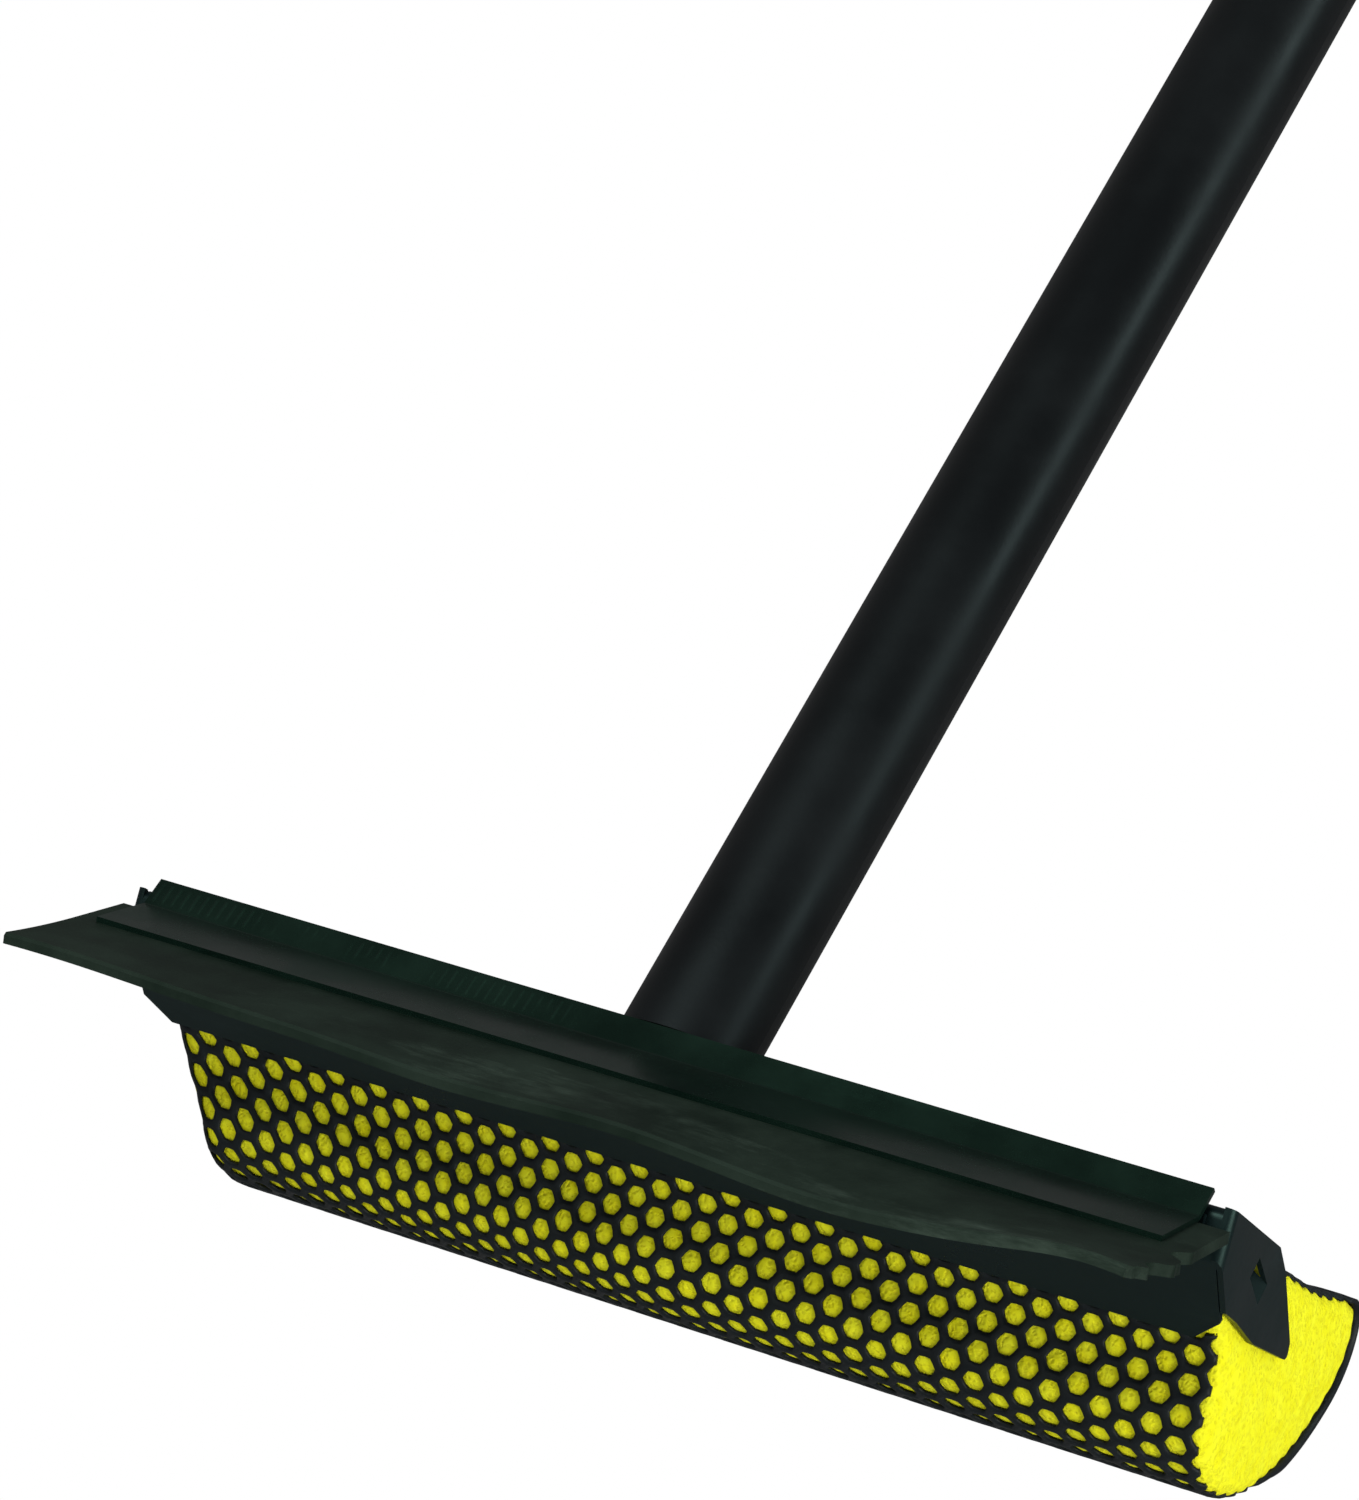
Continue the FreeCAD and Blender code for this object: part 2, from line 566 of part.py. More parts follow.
def channel():
    """Folded body of the head: roof, web and skirt, with an ear bent back at each end."""
    body = new_body("channel")
    roof_back = corner + rise(size("roof_slope")) * size("roof_width")
    legs = [
        (size("roof_width"), 180 + size("roof_slope"), "Sizes.roof_width",
         "180 + Sizes.roof_slope"),
        (size("web_width"), 360 - size("web_slope"), "Sizes.web_width", "360 - Sizes.web_slope"),
        (size("skirt_width"), 360 - size("skirt_slope"), "Sizes.skirt_width",
         "360 - Sizes.skirt_slope"),
    ]
    sketch, lines = strip_sketch(body, "channel_section", roof_back, legs)
    place(sketch, lines[0], 2, corner, "corner", CORNER_ACROSS, CORNER_UP)
    pad(body, "channel_pad", sketch, "Sizes.head_length - 2 * " + BEND_ROOM, midplane=True)
    bend_strip(body, roof_back, legs)

    web_end = add_web_end(body)
    ear = add_ear(body)
    window, prong = add_prong(body)
    mirror = body.newObject("PartDesign::Mirrored", "left_ear")
    mirror.Originals = [web_end, ear, window, prong]
    plane = next(f for f in body.Origin.OriginFeatures if f.Role == "YZ_Plane")
    mirror.MirrorPlane = (plane, [""])
    body.Tip = mirror
    doc.recompute()

    outside = size("head_length") / 2
    web_middle = corner + rise(-size("web_slope")) * (size("web_width") / 2)
    web_inside = web_middle + rise(90 - size("web_slope")) * size("sheet")
    for name, radius, x, target in (
            ("ear_bend_inside", "Sizes.ear_bend", outside - size("sheet"), web_inside),
            ("ear_bend_outside", "Sizes.ear_bend + Sizes.sheet", outside, web_middle)):
        fillet(body, name, radius,
               lambda p, along: abs(abs(p.x) - x) < 0.05 and along_web(p, along, target))

    roof_cos, roof_sin = "cos(Sizes.roof_slope * 1 deg)", "sin(Sizes.roof_slope * 1 deg)"
    web_cos, web_sin = "cos(Sizes.web_slope * 1 deg)", "sin(Sizes.web_slope * 1 deg)"
    skirt_cos, skirt_sin = "cos(Sizes.skirt_slope * 1 deg)", "sin(Sizes.skirt_slope * 1 deg)"
    between_ears = "Sizes.head_length - 2 * Sizes.sheet - 2 * Sizes.ear_gap"
    past = size("plate_start")
    add_plate(body, "roof", roof_back,
              ("%s + Sizes.roof_width * %s" % (CORNER_ACROSS, roof_cos),
               "%s + Sizes.roof_width * %s" % (CORNER_UP, roof_sin)),
              (size("roof_width") - roof_tangent - past, 180 + size("roof_slope"),
               "Sizes.roof_width - %s - Sizes.plate_start" % ROOF_TANGENT,
               "180 + Sizes.roof_slope"), between_ears)
    skirt_start = (corner + rise(-size("web_slope")) * size("web_width")
                   + rise(-size("skirt_slope")) * (skirt_tangent + past))
    past_bend = "(%s + Sizes.plate_start)" % SKIRT_TANGENT
    add_plate(body, "skirt", skirt_start,
              ("%s + Sizes.web_width * %s + %s * %s" % (
                  CORNER_ACROSS, web_cos, past_bend, skirt_cos),
               "%s - Sizes.web_width * %s - %s * %s" % (
                   CORNER_UP, web_sin, past_bend, skirt_sin)),
              (size("skirt_width") - skirt_tangent - past, -size("skirt_slope"),
               "Sizes.skirt_width - " + past_bend, "-Sizes.skirt_slope"), between_ears)

    skirt_corner = (corner + rise(-size("web_slope")) * size("web_width")
                    + rise(-size("skirt_slope")) * size("skirt_width")
                    + rise(90 - size("skirt_slope")) * (size("sheet") / 2))
    ease(body, "skirt_corners", "Chamfer", "Sizes.skirt_cut",
         lambda p, along: near_section_point(p, skirt_corner) and abs(along.x) < 0.1)

    tips = [corner + Vector(
        size(end + "_back") * math.cos(math.radians(size("roof_slope")))
        + size(end + "_depth") * math.sin(math.radians(size("roof_slope"))),
        size(end + "_back") * math.sin(math.radians(size("roof_slope")))
        - size(end + "_depth") * math.cos(math.radians(size("roof_slope"))), 0)
        for end in ("tip", "nose", "brow")]
    fillet(body, "ear_tips", "Sizes.tip_round",
           lambda p, along: abs(along.x) > 0.99 and any(near_section_point(p, t) for t in tips))

    pocket(body, "roof_holes", rivet_hole_plan(body, "roof_hole_plan"), "2 * Sizes.sheet")
    return body


# ---- sponge and net ----

def head_feature(name, shape):
    """A shape drawn in the row's Y and Z from the head datum, as a named object."""
    feature = doc.addObject("Part::Feature", name)
    feature.Label = name
    feature.Shape = shape
    feature.setExpression("Placement.Base.z", "-" + HANG_HEIGHT)
    return feature


def on_roof(back, below, x=0.0):
    """A point given back along the roof and below its outer face."""
    at = corner + rise(size("roof_slope")) * back + rise(size("roof_slope") - 90) * below
    return Vector(x, at.x, at.y)


def sponge_places():
    """Front corner under the roof, then the exposed curve, then the edge by the skirt."""
    top = size("sheet") + size("roof_room")
    spread = size("roof_slope") + size("skirt_slope")
    web_lean = math.tan(math.radians(90 - web_turn))
    web_back = size("sheet") / math.sin(math.radians(web_turn)) + size("skirt_room")
    foot = rise(-web_turn) * size("web_width")

    def over_skirt(back):
        inside = (size("sheet") + size("skirt_room")) / math.cos(math.radians(spread))
        return -foot.y + (back - foot.x) * math.tan(math.radians(spread)) - inside

    skirt_end = foot.x + size("skirt_width") * math.cos(math.radians(spread))
    front_low = foot.x + web_back
    front = [(top * web_lean + web_back, top), (size("roof_width"), top)]
    rest = [(skirt_end + size("skirt_room"), over_skirt(skirt_end + size("skirt_room"))),
            (front_low, over_skirt(front_low))]
    return front, rest


def sponge_curve():
    """The sponge's free surface, from the roof's back edge round to the skirt's edge."""
    front, rest = sponge_places()
    # shares of the sponge's width and thickness, clockwise from above
    swell = [(0.52, 0.03), (0.88, -0.03), (1.0, -0.03), (1.03, 0.09), (0.97, 0.46),
             (0.81, 0.74), (0.50, 0.99), (0.36, 0.97), (0.275, 0.84), (0.262, 0.66)]
    start = front[0][0]
    places = [front[1]]
    places += [(start + a * size("sponge_width"), b * size("sponge_thick")) for a, b in swell]
    places += [rest[0]]
    curve = Part.BSplineCurve()
    curve.interpolate([on_roof(*at) for at in places])
    return curve


def sponge():
    """Foam block, pinched in the channel and swelling behind it."""
    front, rest = sponge_places()
    half = Vector(sponge_half, 0, 0)
    walk = [on_roof(*rest[0]), on_roof(*rest[1]), on_roof(*front[0]), on_roof(*front[1])]
    edges = [sponge_curve().toShape()] + [Part.makeLine(a, b) for a, b in zip(walk, walk[1:])]
    section = Part.Face(Part.Wire(edges))
    block = section.translated(-half).extrude(half * 2)
    play = size("prong_play")
    deep = size("prong_reach") - size("sponge_inset") + play
    for start in (-sponge_half, sponge_half - deep):
        slot = Part.makeBox(
            deep, size("prong_length") + 2 * play, size("prong_width") + 2 * play,
            Vector(start, size("prong_back") - size("prong_length") - play,
                   -size("prong_drop") - size("prong_width") / 2 - play))
        block = block.cut(slot)
    return head_feature("sponge", block)


def sponge_net():
    """Net over the sponge's free surface, as a plain skin."""
    curve = sponge_curve()
    first, last = curve.FirstParameter, curve.LastParameter
    margin = (last - first) * 0.012
    inner = curve.toShape(first + margin, last - margin)
    steps = 48
    outer_points = []
    for step in range(steps + 1):
        at = first + margin + (last - first - 2 * margin) * step / steps
        along = curve.tangent(at)[0]
        outward = Vector(1, 0, 0).cross(along)
        outer_points.append(curve.value(at) + outward * size("net_thick"))
    outer = Part.BSplineCurve()
    outer.interpolate(outer_points)
    ends = [Part.makeLine(inner.valueAt(p), outer.value(q))
            for p, q in ((inner.FirstParameter, outer.FirstParameter),
                         (inner.LastParameter, outer.LastParameter))]
    section = Part.Face(Part.Wire([inner, ends[1], outer.toShape(), ends[0]]))
    half = Vector(sponge_half, 0, 0)
    return head_feature("sponge_net", section.translated(-half).extrude(half * 2))


# ---- handle ----

def cut_below_roof(body, name, above, above_to):
    """Removes what lies below a line that stands a given height over the roof."""
    sketch = section_in_roof_frame(body, name + "_outline")
    far = 2 * size("roof_width")
    add_rectangle(sketch, Vector(-far, -far, 0), Vector(2 * far, above, 0),
                  ("-2 * Sizes.roof_width", "-2 * Sizes.roof_width"),
                  ("4 * Sizes.roof_width", above_to))
    pocket(body, name, sketch, midplane=True)


def screw_hole(body, name):
    """Hole for the handle screw, in the back only."""
    sketch = new_sketch(body, name + "_outline", "XZ_Plane")
    add_circle(sketch, "screw", size("screw_radius") + size("hole_play"),
               "Sizes.screw_radius + Sizes.hole_play", Vector(0, size("screw_height"), 0),
               "0", "Sizes.screw_height")
    pocket(body, name, sketch)


def handle_socket():
    """Hollow spigot with a flange that is riveted to the roof."""
    body = new_body("handle_socket")
    sketch = new_sketch(body, "spigot_outline", "XY_Plane", "-Sizes.tube_radius")
    add_circle(sketch, "spigot", spigot, SPIGOT)
    pad(body, "spigot", sketch, "Sizes.tube_radius + Sizes.socket_height")
    sketch = new_sketch(body, "bore_outline", "XY_Plane", "Sizes.socket_height")
    add_circle(sketch, "bore", spigot - size("socket_wall"), SPIGOT + " - Sizes.socket_wall")
    pocket(body, "bore", sketch, "Sizes.socket_height - Sizes.socket_floor")
    cut_below_roof(body, "spigot_foot", 0, "0")
    screw_hole(body, "pilot_hole")
    sketch = plan_on_roof(body, "flange_outline")
    half = size("socket_width") / 2
    middle = size("roof_width") / 2
    deep = size("socket_depth") / 2
    add_rectangle(
        sketch, Vector(-half, middle - deep, 0), Vector(half, middle + deep, 0),
        ("-Sizes.socket_width / 2", "Sizes.roof_width / 2 - Sizes.socket_depth / 2"),
        ("Sizes.socket_width / 2", "Sizes.roof_width / 2 + Sizes.socket_depth / 2"))
    pad(body, "flange", sketch, "Sizes.socket_flange")
    pocket(body, "flange_holes", rivet_hole_plan(body, "flange_hole_plan"),
           "4 * Sizes.socket_flange", midplane=True)
    return body


def socket_rivets():
    """Four rivets: crowned heads on the flange, tails under the roof."""
    rivets = []
    for number, (at, across, up) in enumerate(rivet_places()):
        head = doc.addObject("Part::Cone", "rivet_head%d" % number)
        head.setExpression("Radius1", "Sizes.rivet_head_radius")
        head.setExpression("Radius2", "Sizes.rivet_crown_radius")
        head.setExpression("Height", "Sizes.rivet_head")
        head.setExpression("Placement.Base.z", "Sizes.socket_flange")
        shank = doc.addObject("Part::Cylinder", "rivet_shank%d" % number)
        shank.setExpression("Radius", "Sizes.rivet_radius")
        shank.setExpression("Height", "Sizes.socket_flange + Sizes.sheet")
        shank.setExpression("Placement.Base.z", "-Sizes.sheet")
        tail = doc.addObject("Part::Cylinder", "rivet_tail%d" % number)
        tail.setExpression("Radius", "Sizes.rivet_tail_radius")
        tail.setExpression("Height", "Sizes.rivet_tail")
        tail.setExpression("Placement.Base.z", "-Sizes.sheet - Sizes.rivet_tail")
        rivet = doc.addObject("Part::MultiFuse", "rivet%d" % number)
        rivet.Shapes = [head, shank, tail]
        rivet.setExpression("Placement.Base.x", across)
        rivet.setExpression("Placement.Base.y", up)
        rivets.append(rivet)
    group = doc.addObject("Part::Compound", "socket_rivets")
    group.Label = "socket_rivets"
    group.Links = rivets
    group.Placement = Placement(Vector(), Rotation(Vector(1, 0, 0), 1))
    group.setExpression("Placement.Rotation.Angle", "Sizes.roof_slope * 1 deg")
    group.setExpression("Placement.Base.y", CORNER_ACROSS)
    group.setExpression("Placement.Base.z", "%s - %s" % (CORNER_UP, HANG_HEIGHT))
    return group


def handle_tube():
    """Round tube, with its foot cut to the roof's slope."""
    body = new_body("handle_tube")
    sketch = new_sketch(body, "tube_outline", "XY_Plane", "-Sizes.tube_radius")
    add_circle(sketch, "outside", size("tube_radius"), "Sizes.tube_radius")
    add_circle(sketch, "inside", size("tube_radius") - size("tube_wall"),
               "Sizes.tube_radius - Sizes.tube_wall")
    pad(body, "tube", sketch, "Sizes.tube_radius + Sizes.tube_length")
    slope = math.radians(size("roof_slope"))
    over_wall = (size("channel_drop") + (size("tube_radius") + corner.x) * math.tan(slope)
                 + size("foot_gap")) * math.cos(slope)
    over_wall_to = ("(Sizes.channel_drop + (Sizes.tube_radius + %s) * "
                    "tan(Sizes.roof_slope * 1 deg) + Sizes.foot_gap) * "
                    "cos(Sizes.roof_slope * 1 deg)" % CORNER_ACROSS)
    cut_below_roof(body, "tube_foot",
                   max(over_wall, size("socket_flange") + size("foot_gap")),
                   "max(%s; Sizes.socket_flange + Sizes.foot_gap)" % over_wall_to)
    screw_hole(body, "tube_hole")
    return body


def handle_screw():
    """Pan-head screw from the back, with a cross recess."""
    head = doc.addObject("Part::Cylinder", "screw_head")
    head.setExpression("Radius", "Sizes.screw_head_radius")
    head.setExpression("Height", "Sizes.screw_head")
    shank = doc.addObject("Part::Cylinder", "screw_shank")
    shank.setExpression("Radius", "Sizes.screw_radius")
    shank.setExpression("Height", "Sizes.screw_length")
    shank.setExpression("Placement.Base.z", "-Sizes.screw_length")
    whole = doc.addObject("Part::MultiFuse", "screw_blank")
    whole.Shapes = [head, shank]
    slots = []
    for name, long_side, short_side in (("slot_x", "Length", "Width"),
                                        ("slot_y", "Width", "Length")):
        slot = doc.addObject("Part::Box", name)
        slot.setExpression(long_side, "Sizes.screw_head_radius")
        slot.setExpression(short_side, "Sizes.slot_width")
        slot.setExpression("Height", "Sizes.slot_depth")
        long_axis, short_axis = ("x", "y") if long_side == "Length" else ("y", "x")
        slot.setExpression("Placement.Base." + long_axis, "-Sizes.screw_head_radius / 2")
        slot.setExpression("Placement.Base." + short_axis, "-Sizes.slot_width / 2")
        slot.setExpression("Placement.Base.z", "Sizes.screw_head - Sizes.slot_depth")
        slots.append(slot)
    cross = doc.addObject("Part::MultiFuse", "screw_cross")
    cross.Shapes = slots
    screw = doc.addObject("Part::Cut", "handle_screw")
    screw.Label = "handle_screw"
    screw.Base = whole
    screw.Tool = cross
    screw.Placement = Placement(Vector(), Rotation(Vector(1, 0, 0), -90))
    screw.setExpression("Placement.Base.y", "Sizes.tube_radius")
    screw.setExpression("Placement.Base.z", "Sizes.screw_height - " + HANG_HEIGHT)
    return screw


def end_cap():
    """Plug for the tube's top with a flat hanging tab."""
    body = new_body("end_cap", at_head=False)
    sketch = new_sketch(body, "plug_outline", "XY_Plane",
                        "-Sizes.tab_height - Sizes.collar_height - Sizes.plug_length")
    add_circle(sketch, "plug", spigot, SPIGOT)
    pad(body, "plug", sketch, "Sizes.plug_length")
    sketch = new_sketch(body, "collar_outline", "XY_Plane",
                        "-Sizes.tab_height - Sizes.collar_height")
    add_circle(sketch, "collar", size("tube_radius"), "Sizes.tube_radius")
    pad(body, "collar", sketch, "Sizes.collar_height")

    sketch = new_sketch(body, "tab_outline", "XZ_Plane")
    half = size("tab_width") / 2
    low = -size("tab_height")
    sides = [((half, 0), (half, low)), ((half, low), (-half, low)), ((-half, low), (-half, 0))]
    right, bottom, left = [
        sketch.addGeometry(Part.LineSegment(Vector(*a, 0), Vector(*b, 0))) for a, b in sides]
    crown = sketch.addGeometry(Part.ArcOfCircle(
        Part.Circle(Vector(), Vector(0, 0, 1), half), 0, math.pi))
    constrain(sketch, "Coincident", right, 2, bottom, 1)
    constrain(sketch, "Coincident", bottom, 2, left, 1)
    constrain(sketch, "Coincident", crown, 1, right, 1)
    constrain(sketch, "Coincident", crown, 2, left, 2)
    constrain(sketch, "Coincident", crown, 3, -1, 1)
    constrain(sketch, "Vertical", right)
    constrain(sketch, "Vertical", left)
    constrain(sketch, "Horizontal", bottom)
    constrain(sketch, "PointOnObject", right, 1, -1)
    constrain(sketch, "Radius", crown, half, name="crown", to="Sizes.tab_width / 2")
    constrain(sketch, "DistanceY", bottom, 1, -1, 1, -low, name="height", to="Sizes.tab_height")
    pad(body, "tab", sketch, "Sizes.tab_thick", midplane=True)
    flat = size("tab_thick") / 2
    fillet(body, "tab_edges", "Sizes.cap_round",
           lambda p, along: abs(abs(p.y) - flat) < 0.01 and p.z > low + 1)
    sketch = new_sketch(body, "hole_outline", "XZ_Plane")
    add_circle(sketch, "hole", size("hang_radius"), "Sizes.hang_radius")
    pocket(body, "hanging_hole", sketch, midplane=True)
    return body


# ---- build, check and write ----

PIECES = (clamp_strip, jaw_strip, blade_rubber, channel, sponge, sponge_net, handle_socket,
          socket_rivets, handle_tube, handle_screw, end_cap)

nodes = [piece() for piece in PIECES]
doc.recompute()

for item in doc.Objects:
    if "Invalid" in item.State or "Error" in item.State:
        raise RuntimeError("%s did not build: %s" % (item.Label, item.State))
for node in nodes:
    if node.Shape.isNull() or not node.Shape.isValid() or node.Shape.Volume <= 0:
        raise RuntimeError(node.Label + " is not a valid solid")

os.makedirs("parts", exist_ok=True)
for node in nodes:
    node.Shape.exportStep(os.path.join("parts", node.Label + ".step"))
    box = node.Shape.BoundBox
    print("%-14s %d solid(s) %9.1f mm3  X %.1f..%.1f  Y %.1f..%.1f  Z %.1f..%.1f" % (
        node.Label, len(node.Shape.Solids), node.Shape.Volume, box.XMin, box.XMax,
        box.YMin, box.YMax, box.ZMin, box.ZMax))
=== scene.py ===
import logging
import math
from collections.abc import Sequence
from dataclasses import dataclass, field
from enum import Enum
from typing import Any

import bmesh
import bpy
import numpy as np
from mathutils import Matrix, Vector
from mathutils.geometry import delaunay_2d_cdt


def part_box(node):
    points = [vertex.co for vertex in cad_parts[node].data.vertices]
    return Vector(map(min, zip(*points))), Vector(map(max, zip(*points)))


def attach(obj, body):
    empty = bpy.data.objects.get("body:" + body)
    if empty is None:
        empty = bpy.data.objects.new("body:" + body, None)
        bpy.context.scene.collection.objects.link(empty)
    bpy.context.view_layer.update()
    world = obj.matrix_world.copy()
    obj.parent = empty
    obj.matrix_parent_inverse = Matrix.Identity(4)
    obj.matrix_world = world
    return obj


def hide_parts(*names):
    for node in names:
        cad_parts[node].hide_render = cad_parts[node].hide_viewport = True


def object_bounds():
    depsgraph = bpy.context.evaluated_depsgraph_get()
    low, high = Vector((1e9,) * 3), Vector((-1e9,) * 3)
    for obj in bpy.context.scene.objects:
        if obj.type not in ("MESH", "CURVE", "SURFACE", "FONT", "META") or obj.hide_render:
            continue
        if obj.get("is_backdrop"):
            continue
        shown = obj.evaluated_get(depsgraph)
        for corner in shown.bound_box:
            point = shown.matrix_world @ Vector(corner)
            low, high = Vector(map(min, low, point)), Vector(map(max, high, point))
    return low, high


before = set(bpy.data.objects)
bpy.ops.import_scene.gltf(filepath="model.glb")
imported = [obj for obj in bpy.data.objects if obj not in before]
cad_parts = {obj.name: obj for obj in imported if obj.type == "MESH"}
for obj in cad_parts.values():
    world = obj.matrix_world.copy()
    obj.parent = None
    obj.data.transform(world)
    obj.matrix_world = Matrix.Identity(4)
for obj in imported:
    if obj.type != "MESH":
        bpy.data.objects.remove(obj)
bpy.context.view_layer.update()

log = logging.getLogger("squeegee")

Colour = tuple[float, float, float]
MM = 0.001
WELD = 0.004 * MM  # points closer than this are one point


# ---- node trees ----

class Graph:
    """Short calls for building a shader or geometry node tree."""

    def __init__(self, tree: bpy.types.NodeTree) -> None:
        """Keeps the tree that the calls add to."""
        self.tree = tree

    def node(self, kind: str, inputs: dict[Any, Any] | None = None, **settings: Any) -> Any:
        """Adds a node.

        Args:
            kind: the node's type name.
            inputs: socket name or number, to a value or to another node's output.
            settings: properties of the node.

        Returns:
            The new node.
        """
        node = self.tree.nodes.new(kind)
        for name, value in settings.items():
            setattr(node, name, value)
        for key, value in (inputs or {}).items():
            if isinstance(value, bpy.types.NodeSocket):
                self.tree.links.new(value, node.inputs[key])
            else:
                node.inputs[key].default_value = value
        return node

    def math(self, operation: str, *values: Any) -> bpy.types.NodeSocket:
        """A Math node's result."""
        return self.node("ShaderNodeMath", dict(enumerate(values)),
                         operation=operation).outputs[0]

    def spread(self, value: Any, low: float, high: float, to_low: Any = 0.0,
               to_high: Any = 1.0) -> bpy.types.NodeSocket:
        """A value stretched from one range to another, and clamped.

        Args:
            value: the value to stretch.
            low: start of its own range.
            high: end of its own range.
            to_low: what the start becomes.
            to_high: what the end becomes.

        Returns:
            The new value.
        """
        return self.node("ShaderNodeMapRange", {
            "Value": value, "From Min": low, "From Max": high,
            "To Min": to_low, "To Max": to_high}).outputs["Result"]

    def blend(self, share: Any, first: Any, second: Any) -> bpy.types.NodeSocket:
        """Two colours mixed by a share."""
        return self.node("ShaderNodeMix", {0: share, 6: first, 7: second},
                         data_type="RGBA").outputs[2]

    def noise(self, vector: Any, scale: Any, detail: float = 4.0,
              roughness: float = 0.55) -> bpy.types.NodeSocket:
        """A noise value over the surface."""
        return self.node("ShaderNodeTexNoise", {
            "Vector": vector, "Scale": scale, "Detail": detail,
            "Roughness": roughness}).outputs[0]


def new_group(name: str, kind: str, inputs: Sequence[tuple[str, str]],
              outputs: Sequence[tuple[str, str]]) -> tuple[Graph, Any, Any]:
    """Starts a node group.

    Args:
        name: the group's name.
        kind: ShaderNodeTree or GeometryNodeTree.
        inputs: names and socket types.
        outputs: names and socket types.

    Returns:
        The graph, its input node and its output node.
    """
    tree = bpy.data.node_groups.new(name, kind)
    for sockets, side in ((inputs, "INPUT"), (outputs, "OUTPUT")):
        for label, socket in sockets:
            tree.interface.new_socket(name=label, in_out=side, socket_type=socket)
    graph = Graph(tree)
    return graph, graph.node("NodeGroupInput"), graph.node("NodeGroupOutput")


def handling_wear() -> bpy.types.NodeTree:
    """Shader group: smudges and fine rubbed lines, for every finish.

    Returns:
        A group with Vector, Scale and Stretch in, and Smudge and Rubbed out.
    """
    graph, start, end = new_group(
        "handling_wear", "ShaderNodeTree",
        [("Vector", "NodeSocketVector"), ("Scale", "NodeSocketFloat"),
         ("Stretch", "NodeSocketVector")],
        [("Smudge", "NodeSocketFloat"), ("Rubbed", "NodeSocketFloat")])
    smudge = graph.noise(start.outputs["Vector"], start.outputs["Scale"], 5.0, 0.6)
    graph.tree.links.new(graph.spread(smudge, 0.38, 0.68), end.inputs["Smudge"])
    drawn = graph.node("ShaderNodeVectorMath", {
        0: start.outputs["Vector"], 1: start.outputs["Stretch"]}, operation="MULTIPLY").outputs[0]
    lines = graph.spread(graph.noise(drawn, start.outputs["Scale"], 8.0, 0.75), 0.55, 0.72)
    graph.tree.links.new(graph.math("MULTIPLY", lines, graph.spread(smudge, 0.35, 0.6)),
                         end.inputs["Rubbed"])
    return graph.tree


def moulded_grain() -> bpy.types.NodeTree:
    """Shader group: the fine height of a skin, from smooth paint to soft rubber.

    Returns:
        A group with Vector, Scale and Unevenness in, and Height out.
    """
    graph, start, end = new_group(
        "moulded_grain", "ShaderNodeTree",
        [("Vector", "NodeSocketVector"), ("Scale", "NodeSocketFloat"),
         ("Unevenness", "NodeSocketFloat")],
        [("Height", "NodeSocketFloat")])
    fine = graph.noise(start.outputs["Vector"], start.outputs["Scale"], 3.0, 0.5)
    slow = graph.noise(start.outputs["Vector"],
                       graph.math("MULTIPLY", start.outputs["Scale"], 0.12), 2.0, 0.5)
    graph.tree.links.new(
        graph.math("ADD", fine, graph.math("MULTIPLY", slow, start.outputs["Unevenness"])),
        end.inputs["Height"])
    return graph.tree


WEAR = handling_wear()
GRAIN = moulded_grain()


# ---- finishes ----

@dataclass(frozen=True)
class Finish:
    """A skin with a base colour, a rubbed colour, a grain and signs of handling."""

    name: str
    base: Colour
    rubbed: Colour
    roughness: float
    rougher: float = 0.2
    grain_scale: float = 1500.0
    grain_depth: float = 0.02
    unevenness: float = 1.0
    wear_scale: float = 60.0
    wear: float = 0.6
    stretch: Colour = (0.2, 1.0, 1.0)
    metallic: float = 0.0
    coat: float = 0.0
    specular: float = 0.5
    sheen: Colour = (1.0, 1.0, 1.0)
    haze: float = 0.35  # how much a smudge lightens, against a rubbed line
    coat_roughness: float = 0.15

    def build(self) -> bpy.types.Material:
        """Makes the material.

        Returns:
            A material whose pattern stands on Object coordinates.
        """
        material = bpy.data.materials.new(self.name)
        material.use_nodes = True
        tree = material.node_tree
        tree.nodes.clear()
        graph = Graph(tree)
        place = graph.node("ShaderNodeTexCoord").outputs["Object"]
        colour, roughness, height = self.surface(graph, place)
        bump = graph.node("ShaderNodeBump", {
            "Strength": 1.0, "Distance": self.grain_depth * MM, "Height": height})
        shader = graph.node("ShaderNodeBsdfPrincipled", {
            "Base Color": colour, "Roughness": roughness, "Metallic": self.metallic,
            "Coat Weight": self.coat, "Coat Roughness": self.coat_roughness,
            "Specular IOR Level": self.specular, "Specular Tint": (*self.sheen, 1.0),
            "Normal": bump.outputs[0]})
        graph.node("ShaderNodeOutputMaterial", {"Surface": shader.outputs[0]})
        return material

    def surface(self, graph: Graph, place: Any) -> tuple[Any, Any, Any]:
        """Colour, roughness and height over the surface.

        Args:
            graph: the material's tree.
            place: the coordinates that the pattern stands on.

        Returns:
            The three sockets.
        """
        wear = graph.node("ShaderNodeGroup", node_tree=WEAR)
        grain = graph.node("ShaderNodeGroup", node_tree=GRAIN)
        for node in (wear, grain):
            graph.tree.links.new(place, node.inputs["Vector"])
        wear.inputs["Scale"].default_value = self.wear_scale
        wear.inputs["Stretch"].default_value = self.stretch
        grain.inputs["Scale"].default_value = self.grain_scale
        grain.inputs["Unevenness"].default_value = self.unevenness
        share = graph.math("MULTIPLY", wear.outputs["Rubbed"], self.wear)
        haze = graph.math("MULTIPLY", wear.outputs["Smudge"], self.wear * self.haze)
        colour = graph.blend(graph.math("ADD", share, haze), (*self.base, 1.0),
                             (*self.rubbed, 1.0))
        roughness = graph.spread(wear.outputs["Smudge"], 0.0, 1.0, self.roughness,
                                 self.roughness + self.rougher)
        return colour, roughness, grain.outputs["Height"]


